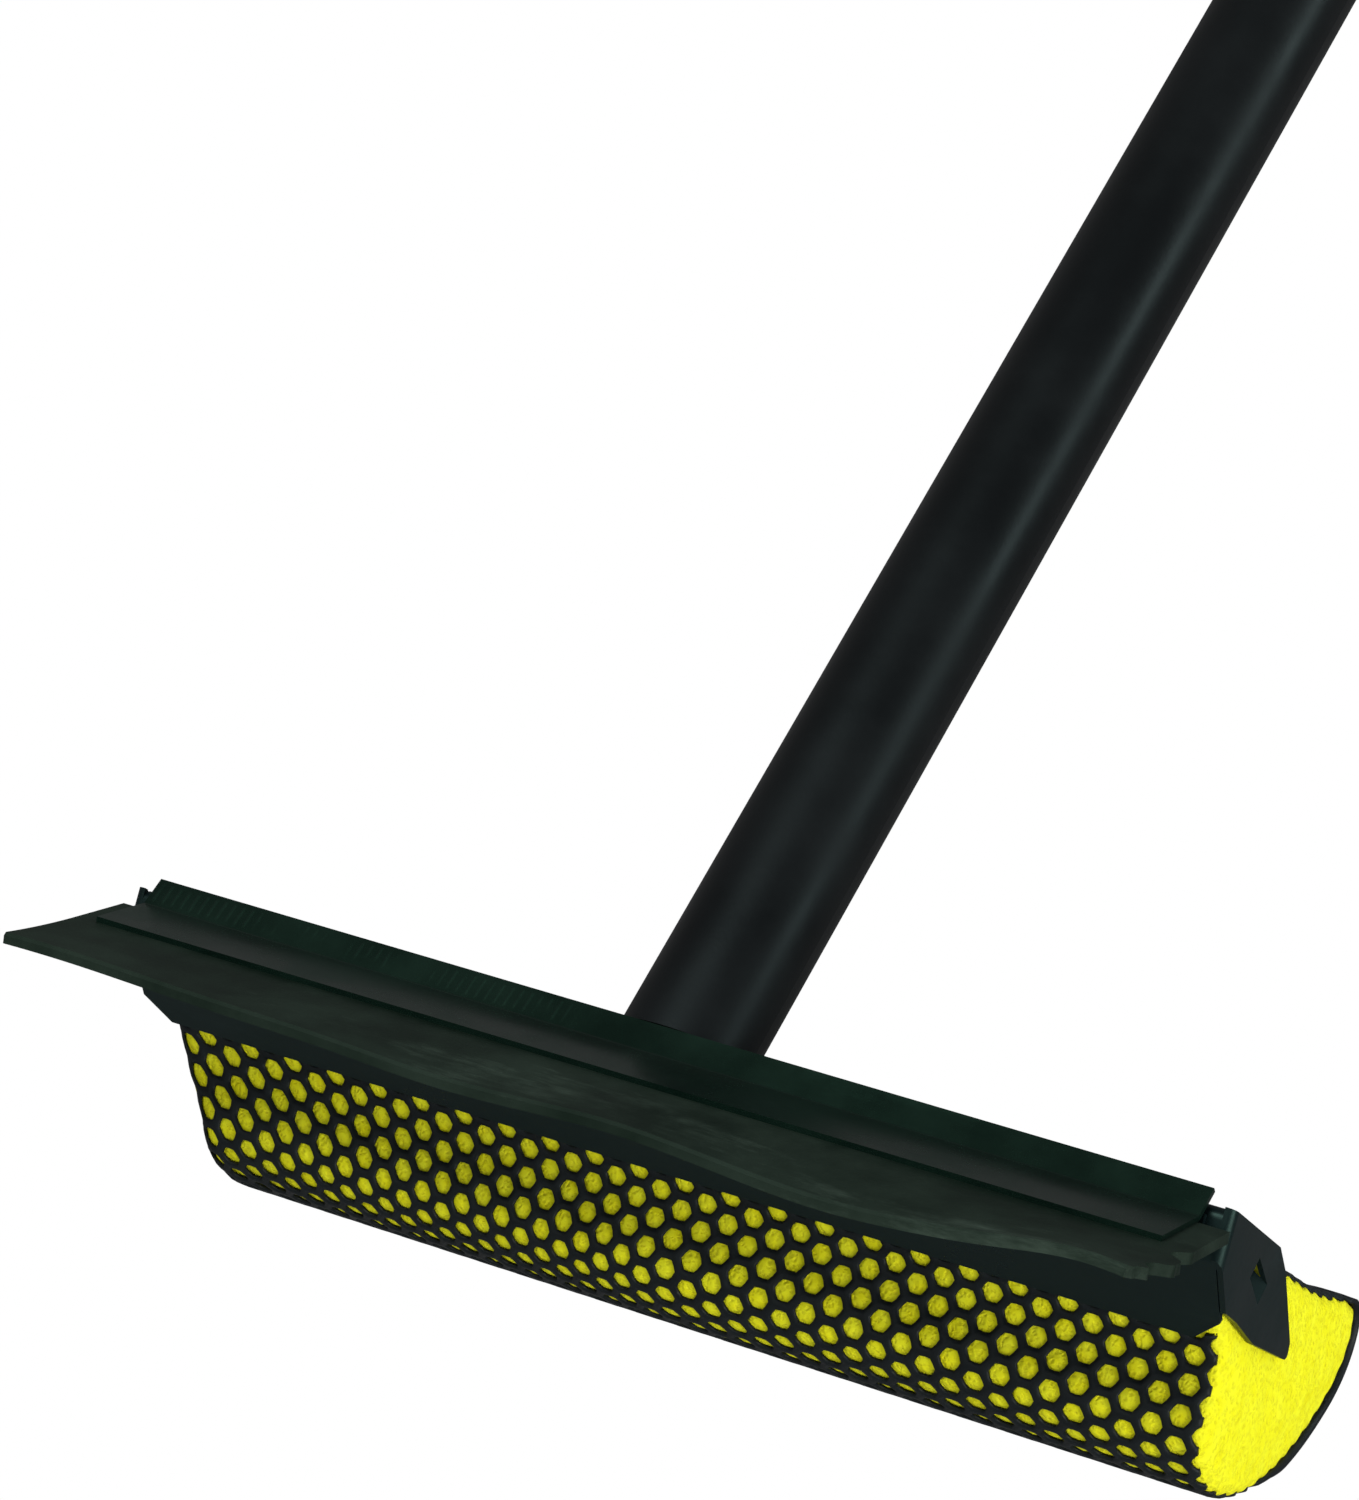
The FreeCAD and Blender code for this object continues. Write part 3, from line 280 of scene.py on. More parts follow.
@dataclass(frozen=True)
class CrimpedPaint(Finish):
    """Gloss paint over a strip whose upper edge carries a row of fine press marks."""

    mark_pitch: float = 1.9
    mark_low: float = -500.2
    mark_high: float = -495.6
    mark_end: float = -14.0
    mark_height: float = 5.0
    mark_pale: float = 0.2

    def surface(self, graph: Graph, place: Any) -> tuple[Any, Any, Any]:
        """Adds the press marks to the height.

        Args:
            graph: the material's tree.
            place: the coordinates that the pattern stands on.

        Returns:
            Colour, roughness and height.
        """
        colour, roughness, height = super().surface(graph, place)
        axes = graph.node("ShaderNodeSeparateXYZ", {0: place})
        across = graph.math("MULTIPLY", axes.outputs["X"], 2 * math.pi / (self.mark_pitch * MM))
        ridge = graph.spread(graph.math("SINE", across), 0.35, 1.0)
        up = graph.math("MULTIPLY",
                        graph.spread(axes.outputs["Z"], self.mark_low * MM,
                                     (self.mark_low + 1.0) * MM),
                        graph.spread(axes.outputs["Z"], self.mark_high * MM,
                                     (self.mark_high - 0.5) * MM))
        along = graph.spread(axes.outputs["X"], self.mark_end * MM, (self.mark_end - 4) * MM)
        patch = graph.spread(graph.noise(place, 130.0, 2.0), 0.42, 0.55)
        marks = graph.math("MULTIPLY", graph.math("MULTIPLY", ridge, up),
                           graph.math("MULTIPLY", along, patch))
        tall = graph.math("ADD", height, graph.math("MULTIPLY", marks, self.mark_height))
        pale = graph.blend(graph.math("MULTIPLY", marks, self.mark_pale), colour,
                           (*self.rubbed, 1.0))
        return pale, roughness, tall


@dataclass(frozen=True)
class OpenFoam(Finish):
    """Open-cell foam: bright, with painted shade darkening its small pores, and slightly lighter
    walls.
    """

    pore_scale: float = 1150.0
    # painted shade: deep is the darker colour painted into the pores' depths, and the share sets
    # how much
    deep: Colour = (0.52, 0.34, 0.02)
    pore_shade_share: float = 0.2
    bend: float = 0.0012
    coarse: float = 0.38  # scale of the large pores against the small
    coarse_height: float = 1.2

    def surface(self, graph: Graph, place: Any) -> tuple[Any, Any, Any]:
        """Pores darkened with painted shade, and mottling.

        Args:
            graph: the material's tree.
            place: the coordinates that the pattern stands on.

        Returns:
            Colour, roughness and height.
        """
        bent = graph.node("ShaderNodeTexNoise", {
            "Vector": place, "Scale": self.pore_scale * 0.6, "Detail": 2.0}).outputs["Color"]
        shifted = graph.node("ShaderNodeMix", {0: self.bend, 4: place, 5: bent},
                             data_type="VECTOR").outputs[1]
        cells = graph.node("ShaderNodeTexVoronoi", {
            "Vector": shifted, "Scale": self.pore_scale}, feature="F1").outputs["Distance"]
        big = graph.node("ShaderNodeTexVoronoi", {
            "Vector": shifted, "Scale": self.pore_scale * self.coarse},
                         feature="F1").outputs["Distance"]
        pores = graph.spread(cells, 0.12, 0.55)
        mottle = graph.spread(graph.noise(place, self.wear_scale, 6.0, 0.7), 0.35, 0.7)
        walls = graph.blend(mottle, (*self.base, 1.0), (*self.rubbed, 1.0))
        # painted shade: each pore darkens towards its middle with the deep colour
        depth = graph.math("SUBTRACT", 1.0, pores)
        colour = graph.blend(graph.math("MULTIPLY", depth, self.pore_shade_share), walls,
                             (*self.deep, 1.0))
        height = graph.math("ADD", pores, graph.math("MULTIPLY", big, self.coarse_height))
        roughness = graph.spread(pores, 0.0, 1.0, self.roughness, self.roughness + self.rougher)
        return colour, roughness, height


class Skin(Enum):
    """The finishes of the squeegee's pieces."""

    PRESSED_PAINT = CrimpedPaint(
        "pressed_paint", (0.0020, 0.0062, 0.0045), (0.012, 0.032, 0.023), 0.20, 0.16,
        grain_scale=700.0, grain_depth=0.012, unevenness=3.0, wear_scale=45.0, wear=0.45,
        coat=0.04, specular=0.2, sheen=(0.50, 1.0, 0.72))
    SHEET_PAINT = Finish(
        "sheet_paint", (0.0026, 0.0058, 0.0068), (0.012, 0.022, 0.024), 0.27, 0.18,
        grain_scale=700.0, grain_depth=0.012, unevenness=3.0, wear_scale=40.0, wear=0.4,
        specular=0.19, sheen=(0.60, 1.0, 0.90))
    BLADE_RUBBER = Finish(
        "blade_rubber_skin", (0.0050, 0.0098, 0.0070), (0.060, 0.082, 0.066), 0.50, 0.22,
        grain_scale=1100.0, grain_depth=0.03, unevenness=1.6, wear_scale=38.0, wear=0.75,
        stretch=(0.28, 1.3, 1.3), specular=0.12, sheen=(0.75, 1.0, 0.82))
    FOAM = OpenFoam(
        "open_foam", (0.91, 0.83, 0.010), (0.95, 0.92, 0.030), 0.85, 0.12,
        grain_scale=1100.0, grain_depth=0.16, wear_scale=260.0, specular=0.08)
    NET = Finish(
        "net_nylon", (0.0050, 0.0068, 0.0085), (0.030, 0.038, 0.045), 0.40, 0.2,
        grain_scale=4200.0, grain_depth=0.03, unevenness=0.6, wear_scale=160.0, wear=0.35,
        specular=0.16)
    HANDLE = Finish(
        "handle_plastic", (0.0030, 0.0032, 0.0038), (0.016, 0.016, 0.018), 0.36, 0.14,
        grain_scale=1500.0, grain_depth=0.016, unevenness=2.2, wear_scale=32.0, wear=0.4,
        stretch=(1.0, 1.0, 0.12), specular=0.16, sheen=(0.78, 0.96, 1.0))
    FITTING = Finish(
        "fitting_plastic", (0.0050, 0.0052, 0.0060), (0.030, 0.030, 0.032), 0.42, 0.16,
        grain_scale=1800.0, grain_depth=0.022, unevenness=1.2, wear_scale=70.0, wear=0.4,
        specular=0.2)
    STEEL = Finish(
        "plated_steel", (0.52, 0.51, 0.48), (0.30, 0.29, 0.27), 0.28, 0.22,
        grain_scale=2600.0, grain_depth=0.015, wear_scale=240.0, wear=0.6, metallic=1.0)


# ---- meshes ----

def make_piece(name: str, vertices: np.ndarray, faces: Sequence[Sequence[int]],
               material: bpy.types.Material) -> bpy.types.Object:
    """Makes a closed, smooth-shaded piece from its points and faces.

    Args:
        name: the piece's name.
        vertices: points in metres, in the frame.
        faces: point numbers of each face.
        material: the piece's finish.

    Returns:
        The new object, at the origin.
    """
    mesh = bpy.data.meshes.new(name)
    mesh.from_pydata(vertices.tolist(), [], [list(f) for f in faces])
    seal(mesh)
    mesh.shade_smooth()
    mesh.materials.append(material)
    piece = bpy.data.objects.new(name, mesh)
    bpy.context.scene.collection.objects.link(piece)
    return piece


def seal(mesh: bpy.types.Mesh) -> None:
    """Merges the points that meet and turns every face outwards.

    Args:
        mesh: the mesh, changed in place.
    """
    work = bmesh.new()
    work.from_mesh(mesh)
    bmesh.ops.remove_doubles(work, verts=work.verts, dist=WELD)
    bmesh.ops.recalc_face_normals(work, faces=work.faces)
    work.to_mesh(mesh)
    work.free()


def smooth_step(value: np.ndarray, low: float, high: float) -> np.ndarray:
    """A soft step from 0 to 1 between two values."""
    t = np.clip((value - low) / (high - low), 0.0, 1.0)
    return t * t * (3.0 - 2.0 * t)


END_DEPTH = 1e-6  # a node's end face is this deep, in metres
PER_METRE = 1e7  # whole numbers that name a point, against metres
FINEST = 1e-7  # one of them in metres


@dataclass
class Outline:
    """A closed outline in the Y-Z plane, anticlockwise seen from +X."""

    points: np.ndarray
    station: np.ndarray = field(init=False)
    length: float = field(init=False)

    def __post_init__(self) -> None:
        """Works out how far each point lies along the outline."""
        steps = np.linalg.norm(np.roll(self.points, -1, axis=0) - self.points, axis=1)
        self.length = float(steps.sum())
        self.station = np.concatenate([[0.0], np.cumsum(steps)[:-1]])

    @classmethod
    def of_node(cls, node: str) -> "Outline":
        """Reads the outline of a frame node's +X end face.

        Args:
            node: the node's name.

        Returns:
            The longest closed outline there.
        """
        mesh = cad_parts[node].data
        places = np.array([v.co for v in mesh.vertices])
        end = places[:, 0].max() - END_DEPTH
        keys = [tuple(int(round(c * PER_METRE)) for c in p[1:]) for p in places]
        edges = set()
        for face in mesh.polygons:
            ids = list(face.vertices)
            if all(places[i, 0] > end for i in ids):
                edges.update(zip([keys[i] for i in ids], [keys[i] for i in ids[1:] + ids[:1]]))
        after = {a: b for a, b in edges if (b, a) not in edges}
        loops = []
        while after:
            start, at = after.popitem()
            loop = [start]
            while at != start:
                loop.append(at)
                at = after.pop(at)
            loops.append(cls(np.array(loop) * FINEST))
        return max(loops, key=lambda loop: loop.length)

    def at(self, station: np.ndarray) -> np.ndarray:
        """Points at distances along the outline, which runs round and round.

        Args:
            station: distances along it, in metres.

        Returns:
            The points' Y and Z.
        """
        closed = np.append(self.station, self.length)
        wrapped = np.mod(station, self.length)
        return np.stack([np.interp(wrapped, closed, np.append(self.points[:, k],
                                                             self.points[0, k]))
                         for k in (0, 1)], axis=-1)

    def outward(self, station: np.ndarray, reach: float) -> np.ndarray:
        """Unit normals that point out, softened over a reach either side.

        Args:
            station: distances along the outline.
            reach: how far to either side a corner is softened.

        Returns:
            The normals' Y and Z.
        """
        along = sum(self.at(station + reach * k) - self.at(station - reach * k)
                    for k in (0.3, 0.65, 1.0))
        normal = np.stack([along[..., 1], -along[..., 0]], axis=-1)
        return normal / np.linalg.norm(normal, axis=-1, keepdims=True)


# ---- washing sponge and its net ----

@dataclass
class HexPattern:
    """Places of a net's openings on its flat cloth: X along, V round the sponge."""

    pitch: float = 5.13 * MM
    opening: float = 1.76 * MM

    @property
    def column(self) -> float:
        """Distance from one column of openings to the next."""
        return self.pitch * math.sqrt(3) / 2

    def nearest(self, x: np.ndarray, v: np.ndarray) -> np.ndarray:
        """Distance from each point to the middle of the nearest opening.

        Args:
            x: places along the cloth.
            v: places round the sponge.

        Returns:
            The distances.
        """
        best = np.full(np.broadcast(x, v).shape, 1.0)  # a metre, farther than any
        first = np.round(x / self.column)
        for side in (-1, 0, 1):
            number = first + side
            shift = np.mod(number, 2) * self.pitch / 2
            row = np.round((v - shift) / self.pitch) * self.pitch + shift
            best = np.minimum(best, np.hypot(x - number * self.column, v - row))
        return best


@dataclass
class SpongeSurface:
    """Turns a place on the flat cloth into a place on the sponge's skin."""

    half: float = 102.9 * MM
    drawn_in: tuple[float, float] = (10.5 * MM, -2.0 * MM)
    end_round: tuple[float, float] = (5.5 * MM, 2.6 * MM)
    softness: float = 1.4 * MM
    touch: float = 0.25 * MM  # the skin is bare where the net is farther away
    tuck: float = 1.6 * MM  # how far the net runs on past the bare stretch's ends
    belly: tuple[float, float] = (0.68, 0.3)  # shares of the depth where it starts
    outline: Outline = field(init=False)
    start: float = field(init=False)
    free: float = field(init=False)

    def __post_init__(self) -> None:
        """Reads the section and finds the stretch that the net covers."""
        self.outline = Outline.of_node("sponge")
        cover = Outline.of_node("sponge_net")
        stations = np.arange(0.0, self.outline.length, 0.4 * MM)
        spots = cover.at(np.arange(0.0, cover.length, 0.1 * MM))
        gaps = np.array([np.hypot(*(spots - p).T).min() for p in self.outline.at(stations)])
        bare = stations[gaps > self.touch]
        jumps = np.diff(np.append(bare, bare[0] + self.outline.length))
        last = int(np.argmax(jumps))
        self.start = float(bare[last]) - self.tuck
        self.free = float(jumps[last]) + 2 * self.tuck

    def ends_at(self, station: np.ndarray) -> tuple[np.ndarray, np.ndarray]:
        """Lengths of the sponge's two halves round the section.

        The net draws the belly in at the -X end. At the other end it stands out a little.

        Args:
            station: distances round the section.

        Returns:
            The -X half's lengths, then the +X half's.
        """
        flat = self.outline.at(station)
        low, high = self.outline.points.min(axis=0), self.outline.points.max(axis=0)
        drop = (high[1] - flat[..., 1]) / (high[1] - low[1])
        left = self.half - self.drawn_in[0] * smooth_step(drop, self.belly[0], 1.0)
        right = self.half - self.drawn_in[1] * smooth_step(drop, self.belly[1], 1.0)
        return left, right

    def place(self, x: np.ndarray, station: np.ndarray, lift: np.ndarray) -> np.ndarray:
        """Points on or over the skin.

        Args:
            x: distance from the middle, on a sponge of full length.
            station: distance round the section.
            lift: height over the skin.

        Returns:
            Points in the frame.
        """
        left, right = self.ends_at(station)
        half = np.where(x < 0, left, right)
        across = x / self.half * half
        end_round = np.where(x < 0, self.end_round[0], self.end_round[1])
        inset = self.inset(half - np.abs(across), end_round)
        flat = self.outline.at(station) + self.outline.outward(
            station, self.softness) * (lift - inset)[..., None]
        return np.concatenate([across[..., None], flat], axis=-1)

    @staticmethod
    def inset(from_end: np.ndarray, end_round: np.ndarray) -> np.ndarray:
        """Depth of the rounding at a distance from the end."""
        short = end_round - np.clip(from_end, 0.0, end_round)
        return end_round - np.sqrt(np.maximum(end_round ** 2 - short ** 2, 0.0))


@dataclass
class WashingSponge:
    """The foam block, with its end faces and its swelling in the net's openings."""

    surface: SpongeSurface
    pattern: HexPattern
    step: float = 0.95 * MM
    swelling: float = 0.42 * MM
    sag: float = 0.35 * MM
    dome_foot: float = 1.15  # a dome's foot against the opening's radius
    fade: float = 2 * MM
    crowding: float = 0.6  # from 0 to 1, how much finer the rings are at the ends
    crown: float = 0.9 * MM
    crown_reach: float = 9 * MM
    roughness: float = 0.25 * MM
    face_step: float = 2.4 * MM

    def build(self, material: bpy.types.Material) -> bpy.types.Object:
        """Makes the foam.

        Args:
            material: the foam's finish.

        Returns:
            The piece.
        """
        outline = self.surface.outline
        around = int(outline.length / self.step)
        station = np.arange(around) * outline.length / around
        count = int(2 * self.surface.half / self.step)
        # finer towards the rounded ends
        turn = math.pi / 2
        x = self.surface.half * np.sin(
            np.linspace(-1, 1, count) * turn * self.crowding) / math.sin(turn * self.crowding)
        xs, ss = np.meshgrid(x, station, indexing="ij")
        grid = self.surface.place(xs, ss, self.lift(xs, ss))
        vertices = grid.reshape(-1, 3)
        faces = []
        for i in range(count - 1):
            for j in range(around):
                k = (j + 1) % around
                faces.append((i * around + j, i * around + k,
                              (i + 1) * around + k, (i + 1) * around + j))
        for ring in (0, count - 1):
            more, caps = self.end_face(grid[ring], len(vertices))
            vertices = np.concatenate([vertices, more])
            faces.extend(caps)
        return make_piece("foam_block", vertices, faces, material)

    def lift(self, x: np.ndarray, station: np.ndarray) -> np.ndarray:
        """Height of the foam over its even skin: domes in openings, and slow dents.

        Args:
            x: distances from the middle.
            station: distances round the section.

        Returns:
            The heights.
        """
        v = np.mod(station - self.surface.start, self.surface.outline.length)
        inside = smooth_step(v, 0.0, self.fade) * smooth_step(
            -v, -self.surface.free, -self.surface.free + self.fade)
        near = self.pattern.nearest(x, v)
        dome = self.swelling * (1.0 - smooth_step(
            near, 0.5 * MM, self.pattern.opening * self.dome_foot))
        slow = np.sin(x * 61.0 + v * 37.0) * np.sin(x * 23.0 - v * 71.0)
        return inside * (dome - self.sag * 0.3 * (1.0 + slow))

    def end_face(self, ring: np.ndarray, first: int) -> tuple[np.ndarray, list[list[int]]]:
        """A gently uneven face that closes one end.

        Args:
            ring: the end's outline, point by point.
            first: number of the first new point.

        Returns:
            The new points and the faces.
        """
        flat = [Vector((p[1], p[2])) for p in ring]
        low, high = ring.min(axis=0), ring.max(axis=0)
        inner = [Vector((y, z)) for y in np.arange(low[1], high[1], self.face_step)
                 for z in np.arange(low[2], high[2], self.face_step)]
        count = len(flat)
        edges = [(i, (i + 1) % count) for i in range(count)]
        places, _, triangles, origin, _, _ = delaunay_2d_cdt(
            flat + inner, edges, [list(range(count))], 1, FINEST)
        points = np.array([[0.0, p.x, p.y] for p in places])
        side = 1.0 if ring[0, 0] > 0 else -1.0
        sparse = ring[None, ::6]
        near = np.hypot(points[:, None, 1] - sparse[..., 1], points[:, None, 2] - sparse[..., 2])
        weight = 1.0 / np.maximum(near, 0.2 * MM) ** 2
        points[:, 0] = (weight * sparse[..., 0]).sum(axis=1) / weight.sum(axis=1)
        crown = smooth_step(near.min(axis=1), 0.5 * MM, self.crown_reach)
        rough = np.sin(points[:, 1] * 410.0) * np.sin(points[:, 2] * 350.0 + side)
        points[:, 0] += side * crown * (self.crown + self.roughness * rough)
        for index, sources in enumerate(origin):
            for source in sources:
                if source < count:
                    points[index] = ring[source]
        return points, [[first + i for i in triangle] for triangle in triangles]


@dataclass
class HexNet:
    """The net over the sponge: a flat cloth of hexagons, draped round the section."""

    surface: SpongeSurface
    pattern: HexPattern
    thick: float = 0.78 * MM
    end_margin: float = 1.5 * MM
    drawn: tuple[float, float] = (0.9 * MM, 0.4 * MM)
    sleeve: float = 0.7 * MM
    hem: float = 2.4 * MM
    hem_span: tuple[float, float] = (0.34, 0.68)  # shares of the way round
    hem_step: float = 0.8 * MM
    strand_round: float = 0.26 * MM
    corner: float = 1.09
    sides: int = 12
    pull_reach: float = 40 * MM

    def build(self, material: bpy.types.Material) -> bpy.types.Object:
        """Makes the net.

        Args:
            material: the net's finish.

        Returns:
            The piece.
        """
        tile = self.tile(material)
        columns = 2 * int(math.ceil(self.surface.half / self.pattern.column)) + 3
        rows = int(math.ceil(self.surface.free / self.pattern.pitch)) + 4
        mesh = self.cloth(tile, columns, rows, material)
        bpy.data.objects.remove(tile)
        self.trim(mesh)
        places = np.empty(len(mesh.vertices) * 3)
        mesh.vertices.foreach_get("co", places)
        x, v, lift = places.reshape(-1, 3).T
        cut = self.surface.half - self.end_margin
        share = v / self.surface.free
        behind = smooth_step(share, 0.28, 0.42) * (1.0 - smooth_step(share, 0.66, 0.74)) * (x > 0)
        drawn = np.where(x > 0, self.drawn[1] + self.sleeve * behind, self.drawn[0])
        x = x + np.sign(x) * drawn * smooth_step(np.abs(x), cut - self.pull_reach, cut)
        end_round = self.surface.end_round[1]
        lift = lift + behind * self.surface.inset(self.surface.half - np.abs(x), end_round)
        draped = self.surface.place(x, v + self.surface.start, lift)
        mesh.vertices.foreach_set("co", draped.ravel())
        seal(mesh)
        mesh.shade_smooth()
        piece = bpy.data.objects.new("hex_net", mesh)
        bpy.context.scene.collection.objects.link(piece)
        return piece

    def ring(self, radius: float, hexagonal: bool,
             height: float) -> list[tuple[float, float, float]]:
        """Points round an opening, at its rim or on the strands' middle lines.

        Args:
            radius: from the opening's middle to a flat side.
            hexagonal: a sharp hexagon, or else a nearly round rim.
            height: over the cloth's underside.

        Returns:
            One point for each side and each corner.
        """
        turn = 360 // self.sides
        points = []
        for k in range(self.sides):
            angle = math.radians(turn * k)
            reach = radius
            if hexagonal:
                reach = radius if k % 2 else radius / math.cos(math.radians(turn))
            elif k % 2 == 0:
                reach = radius * self.corner
            points.append((reach * math.cos(angle), reach * math.sin(angle), height))
        return points

    def tile(self, material: bpy.types.Material) -> bpy.types.Object:
        """One opening with half of each strand round it.

        Args:
            material: the net's finish.

        Returns:
            The tile, to be repeated.
        """
        edge = self.pattern.opening
        rings = [self.ring(self.pattern.pitch / 2, True, self.thick),
                 self.ring(edge + self.strand_round, False, self.thick * 0.92),
                 self.ring(edge, False, self.thick * 0.5),
                 self.ring(edge + self.strand_round * 0.4, False, 0.0),
                 self.ring(self.pattern.pitch / 2, True, 0.0)]
        n = self.sides
        faces = []
        for k in range(len(rings) - 1):
            for i in range(n):
                j = (i + 1) % n
                faces.append((k * n + i, k * n + j, (k + 1) * n + j, (k + 1) * n + i))
        mesh = bpy.data.meshes.new("net_tile")
        mesh.from_pydata([p for ring in rings for p in ring], [], faces)
        mesh.flip_normals()
        mesh.materials.append(material)
        tile = bpy.data.objects.new("net_tile", mesh)
        bpy.context.scene.collection.objects.link(tile)
        return tile

    def cloth(self, tile: bpy.types.Object, columns: int, rows: int,
              material: bpy.types.Material) -> bpy.types.Mesh:
        """Repeats the tile over a flat cloth with a node tree.

        Args:
            tile: the piece to repeat.
            columns: number of columns along X, an odd number.
            rows: number of openings in a column.
            material: the net's finish.

        Returns:
            A plain mesh, with V from 0 upwards.
        """
        graph, start, end = new_group(
            "hexagon_cloth", "GeometryNodeTree",
            [("Geometry", "NodeSocketGeometry"), ("Tile", "NodeSocketObject"),
             ("Columns", "NodeSocketInt"), ("Rows", "NodeSocketInt"),
             ("Pitch", "NodeSocketFloat"), ("Weld", "NodeSocketFloat")],
            [("Geometry", "NodeSocketGeometry")])
        pitch = start.outputs["Pitch"]
        column = graph.math("MULTIPLY", pitch, math.sqrt(3) / 2)
        width = graph.math("MULTIPLY", column,
                           graph.math("SUBTRACT", start.outputs["Columns"], 1.0))
        depth = graph.math("MULTIPLY", pitch,
                           graph.math("SUBTRACT", start.outputs["Rows"], 1.0))
        grid = graph.node("GeometryNodeMeshGrid", {
            "Size X": width, "Size Y": depth, "Vertices X": start.outputs["Columns"],
            "Vertices Y": start.outputs["Rows"]})
        axes = graph.node("ShaderNodeSeparateXYZ", {
            0: graph.node("GeometryNodeInputPosition").outputs[0]})
        number = graph.math("ROUND", graph.math("DIVIDE", axes.outputs["X"], column))
        odd = graph.math("FLOORED_MODULO", number, 2.0)
        shift = graph.math("ADD", graph.math("MULTIPLY", odd, graph.math("MULTIPLY", pitch, 0.5)),
                           graph.math("MULTIPLY", depth, 0.5))
        lowered = graph.math("SUBTRACT", shift, pitch)
        move = graph.node("ShaderNodeCombineXYZ", {"Y": lowered})
        places = graph.node("GeometryNodeSetPosition", {
            "Geometry": grid.outputs["Mesh"], "Offset": move.outputs[0]})
        shape = graph.node("GeometryNodeObjectInfo", {"Object": start.outputs["Tile"]})
        copies = graph.node("GeometryNodeInstanceOnPoints", {
            "Points": places.outputs[0], "Instance": shape.outputs["Geometry"]})
        real = graph.node("GeometryNodeRealizeInstances", {0: copies.outputs[0]})
        welded = graph.node("GeometryNodeMergeByDistance", {
            "Geometry": real.outputs[0], "Distance": start.outputs["Weld"]})
        dressed = graph.node("GeometryNodeSetMaterial", {
            "Geometry": welded.outputs[0], "Material": material})
        graph.tree.links.new(dressed.outputs[0], end.inputs[0])
        carrier = bpy.data.objects.new("cloth", bpy.data.meshes.new("cloth"))
        bpy.context.scene.collection.objects.link(carrier)
        modifier = carrier.modifiers.new("cloth", "NODES")
        modifier.node_group = graph.tree
        values = {"Tile": tile, "Columns": columns, "Rows": rows,
                  "Pitch": self.pattern.pitch, "Weld": 0.01 * MM}
        for item in graph.tree.interface.items_tree:
            if item.name in values and item.in_out == "INPUT":
                modifier[item.identifier] = values[item.name]
        view = bpy.context.evaluated_depsgraph_get()
        mesh = bpy.data.meshes.new_from_object(carrier.evaluated_get(view))
        mesh.name = "hex_net"
        bpy.data.objects.remove(carrier)
        return mesh

    def trim(self, mesh: bpy.types.Mesh) -> None:
        """Cuts the cloth straight along its four sides and closes each cut strand.

        Args:
            mesh: the cloth, changed in place.
        """
        half = self.surface.half - self.end_margin
        work = bmesh.new()
        work.from_mesh(mesh)
        for place, way in (((half, 0, 0), (1, 0, 0)), ((-half, 0, 0), (-1, 0, 0)),
                           ((0, self.surface.free, 0), (0, 1, 0)), ((0, 0, 0), (0, -1, 0))):
            bmesh.ops.bisect_plane(work, geom=[*work.verts, *work.edges, *work.faces],
                                   dist=FINEST, plane_co=place, plane_no=way, clear_outer=True)
        rim = [edge for edge in work.edges if edge.is_boundary]
        bmesh.ops.holes_fill(work, edges=rim, sides=0)
        self.add_hem(work, half)
        work.to_mesh(mesh)
        work.free()

    def add_hem(self, work: bmesh.types.BMesh, half: float) -> None:
        """Adds the band that closes the net's +X edge along its back.

        Args:
            work: the cloth, changed in place.
            half: distance from the middle to the cut edge.
        """
        first, last = (self.surface.free * share for share in self.hem_span)
        corners = ((0.0, 0.0), (self.hem, 0.0), (self.hem, self.thick), (0.0, self.thick))
        rings = [[work.verts.new((half - self.hem * 0.75 + a, v, lift)) for a, lift in corners]
                 for v in np.arange(first, last, self.hem_step)]
        for one, two in zip(rings, rings[1:]):
            for i in range(4):
                j = (i + 1) % 4
                work.faces.new((one[i], one[j], two[j], two[i]))
        work.faces.new(rings[0][::-1])
        work.faces.new(rings[-1])


# ---- wiping blade ----

@dataclass(frozen=True)
class Wave:
    """A soft bump in a line, in millimetres."""

    middle: float
    width: float
    height: float

    def over(self, along: np.ndarray) -> np.ndarray:
        """Its height at places along the line."""
        return self.height * np.exp(-((along - self.middle) / self.width) ** 2)


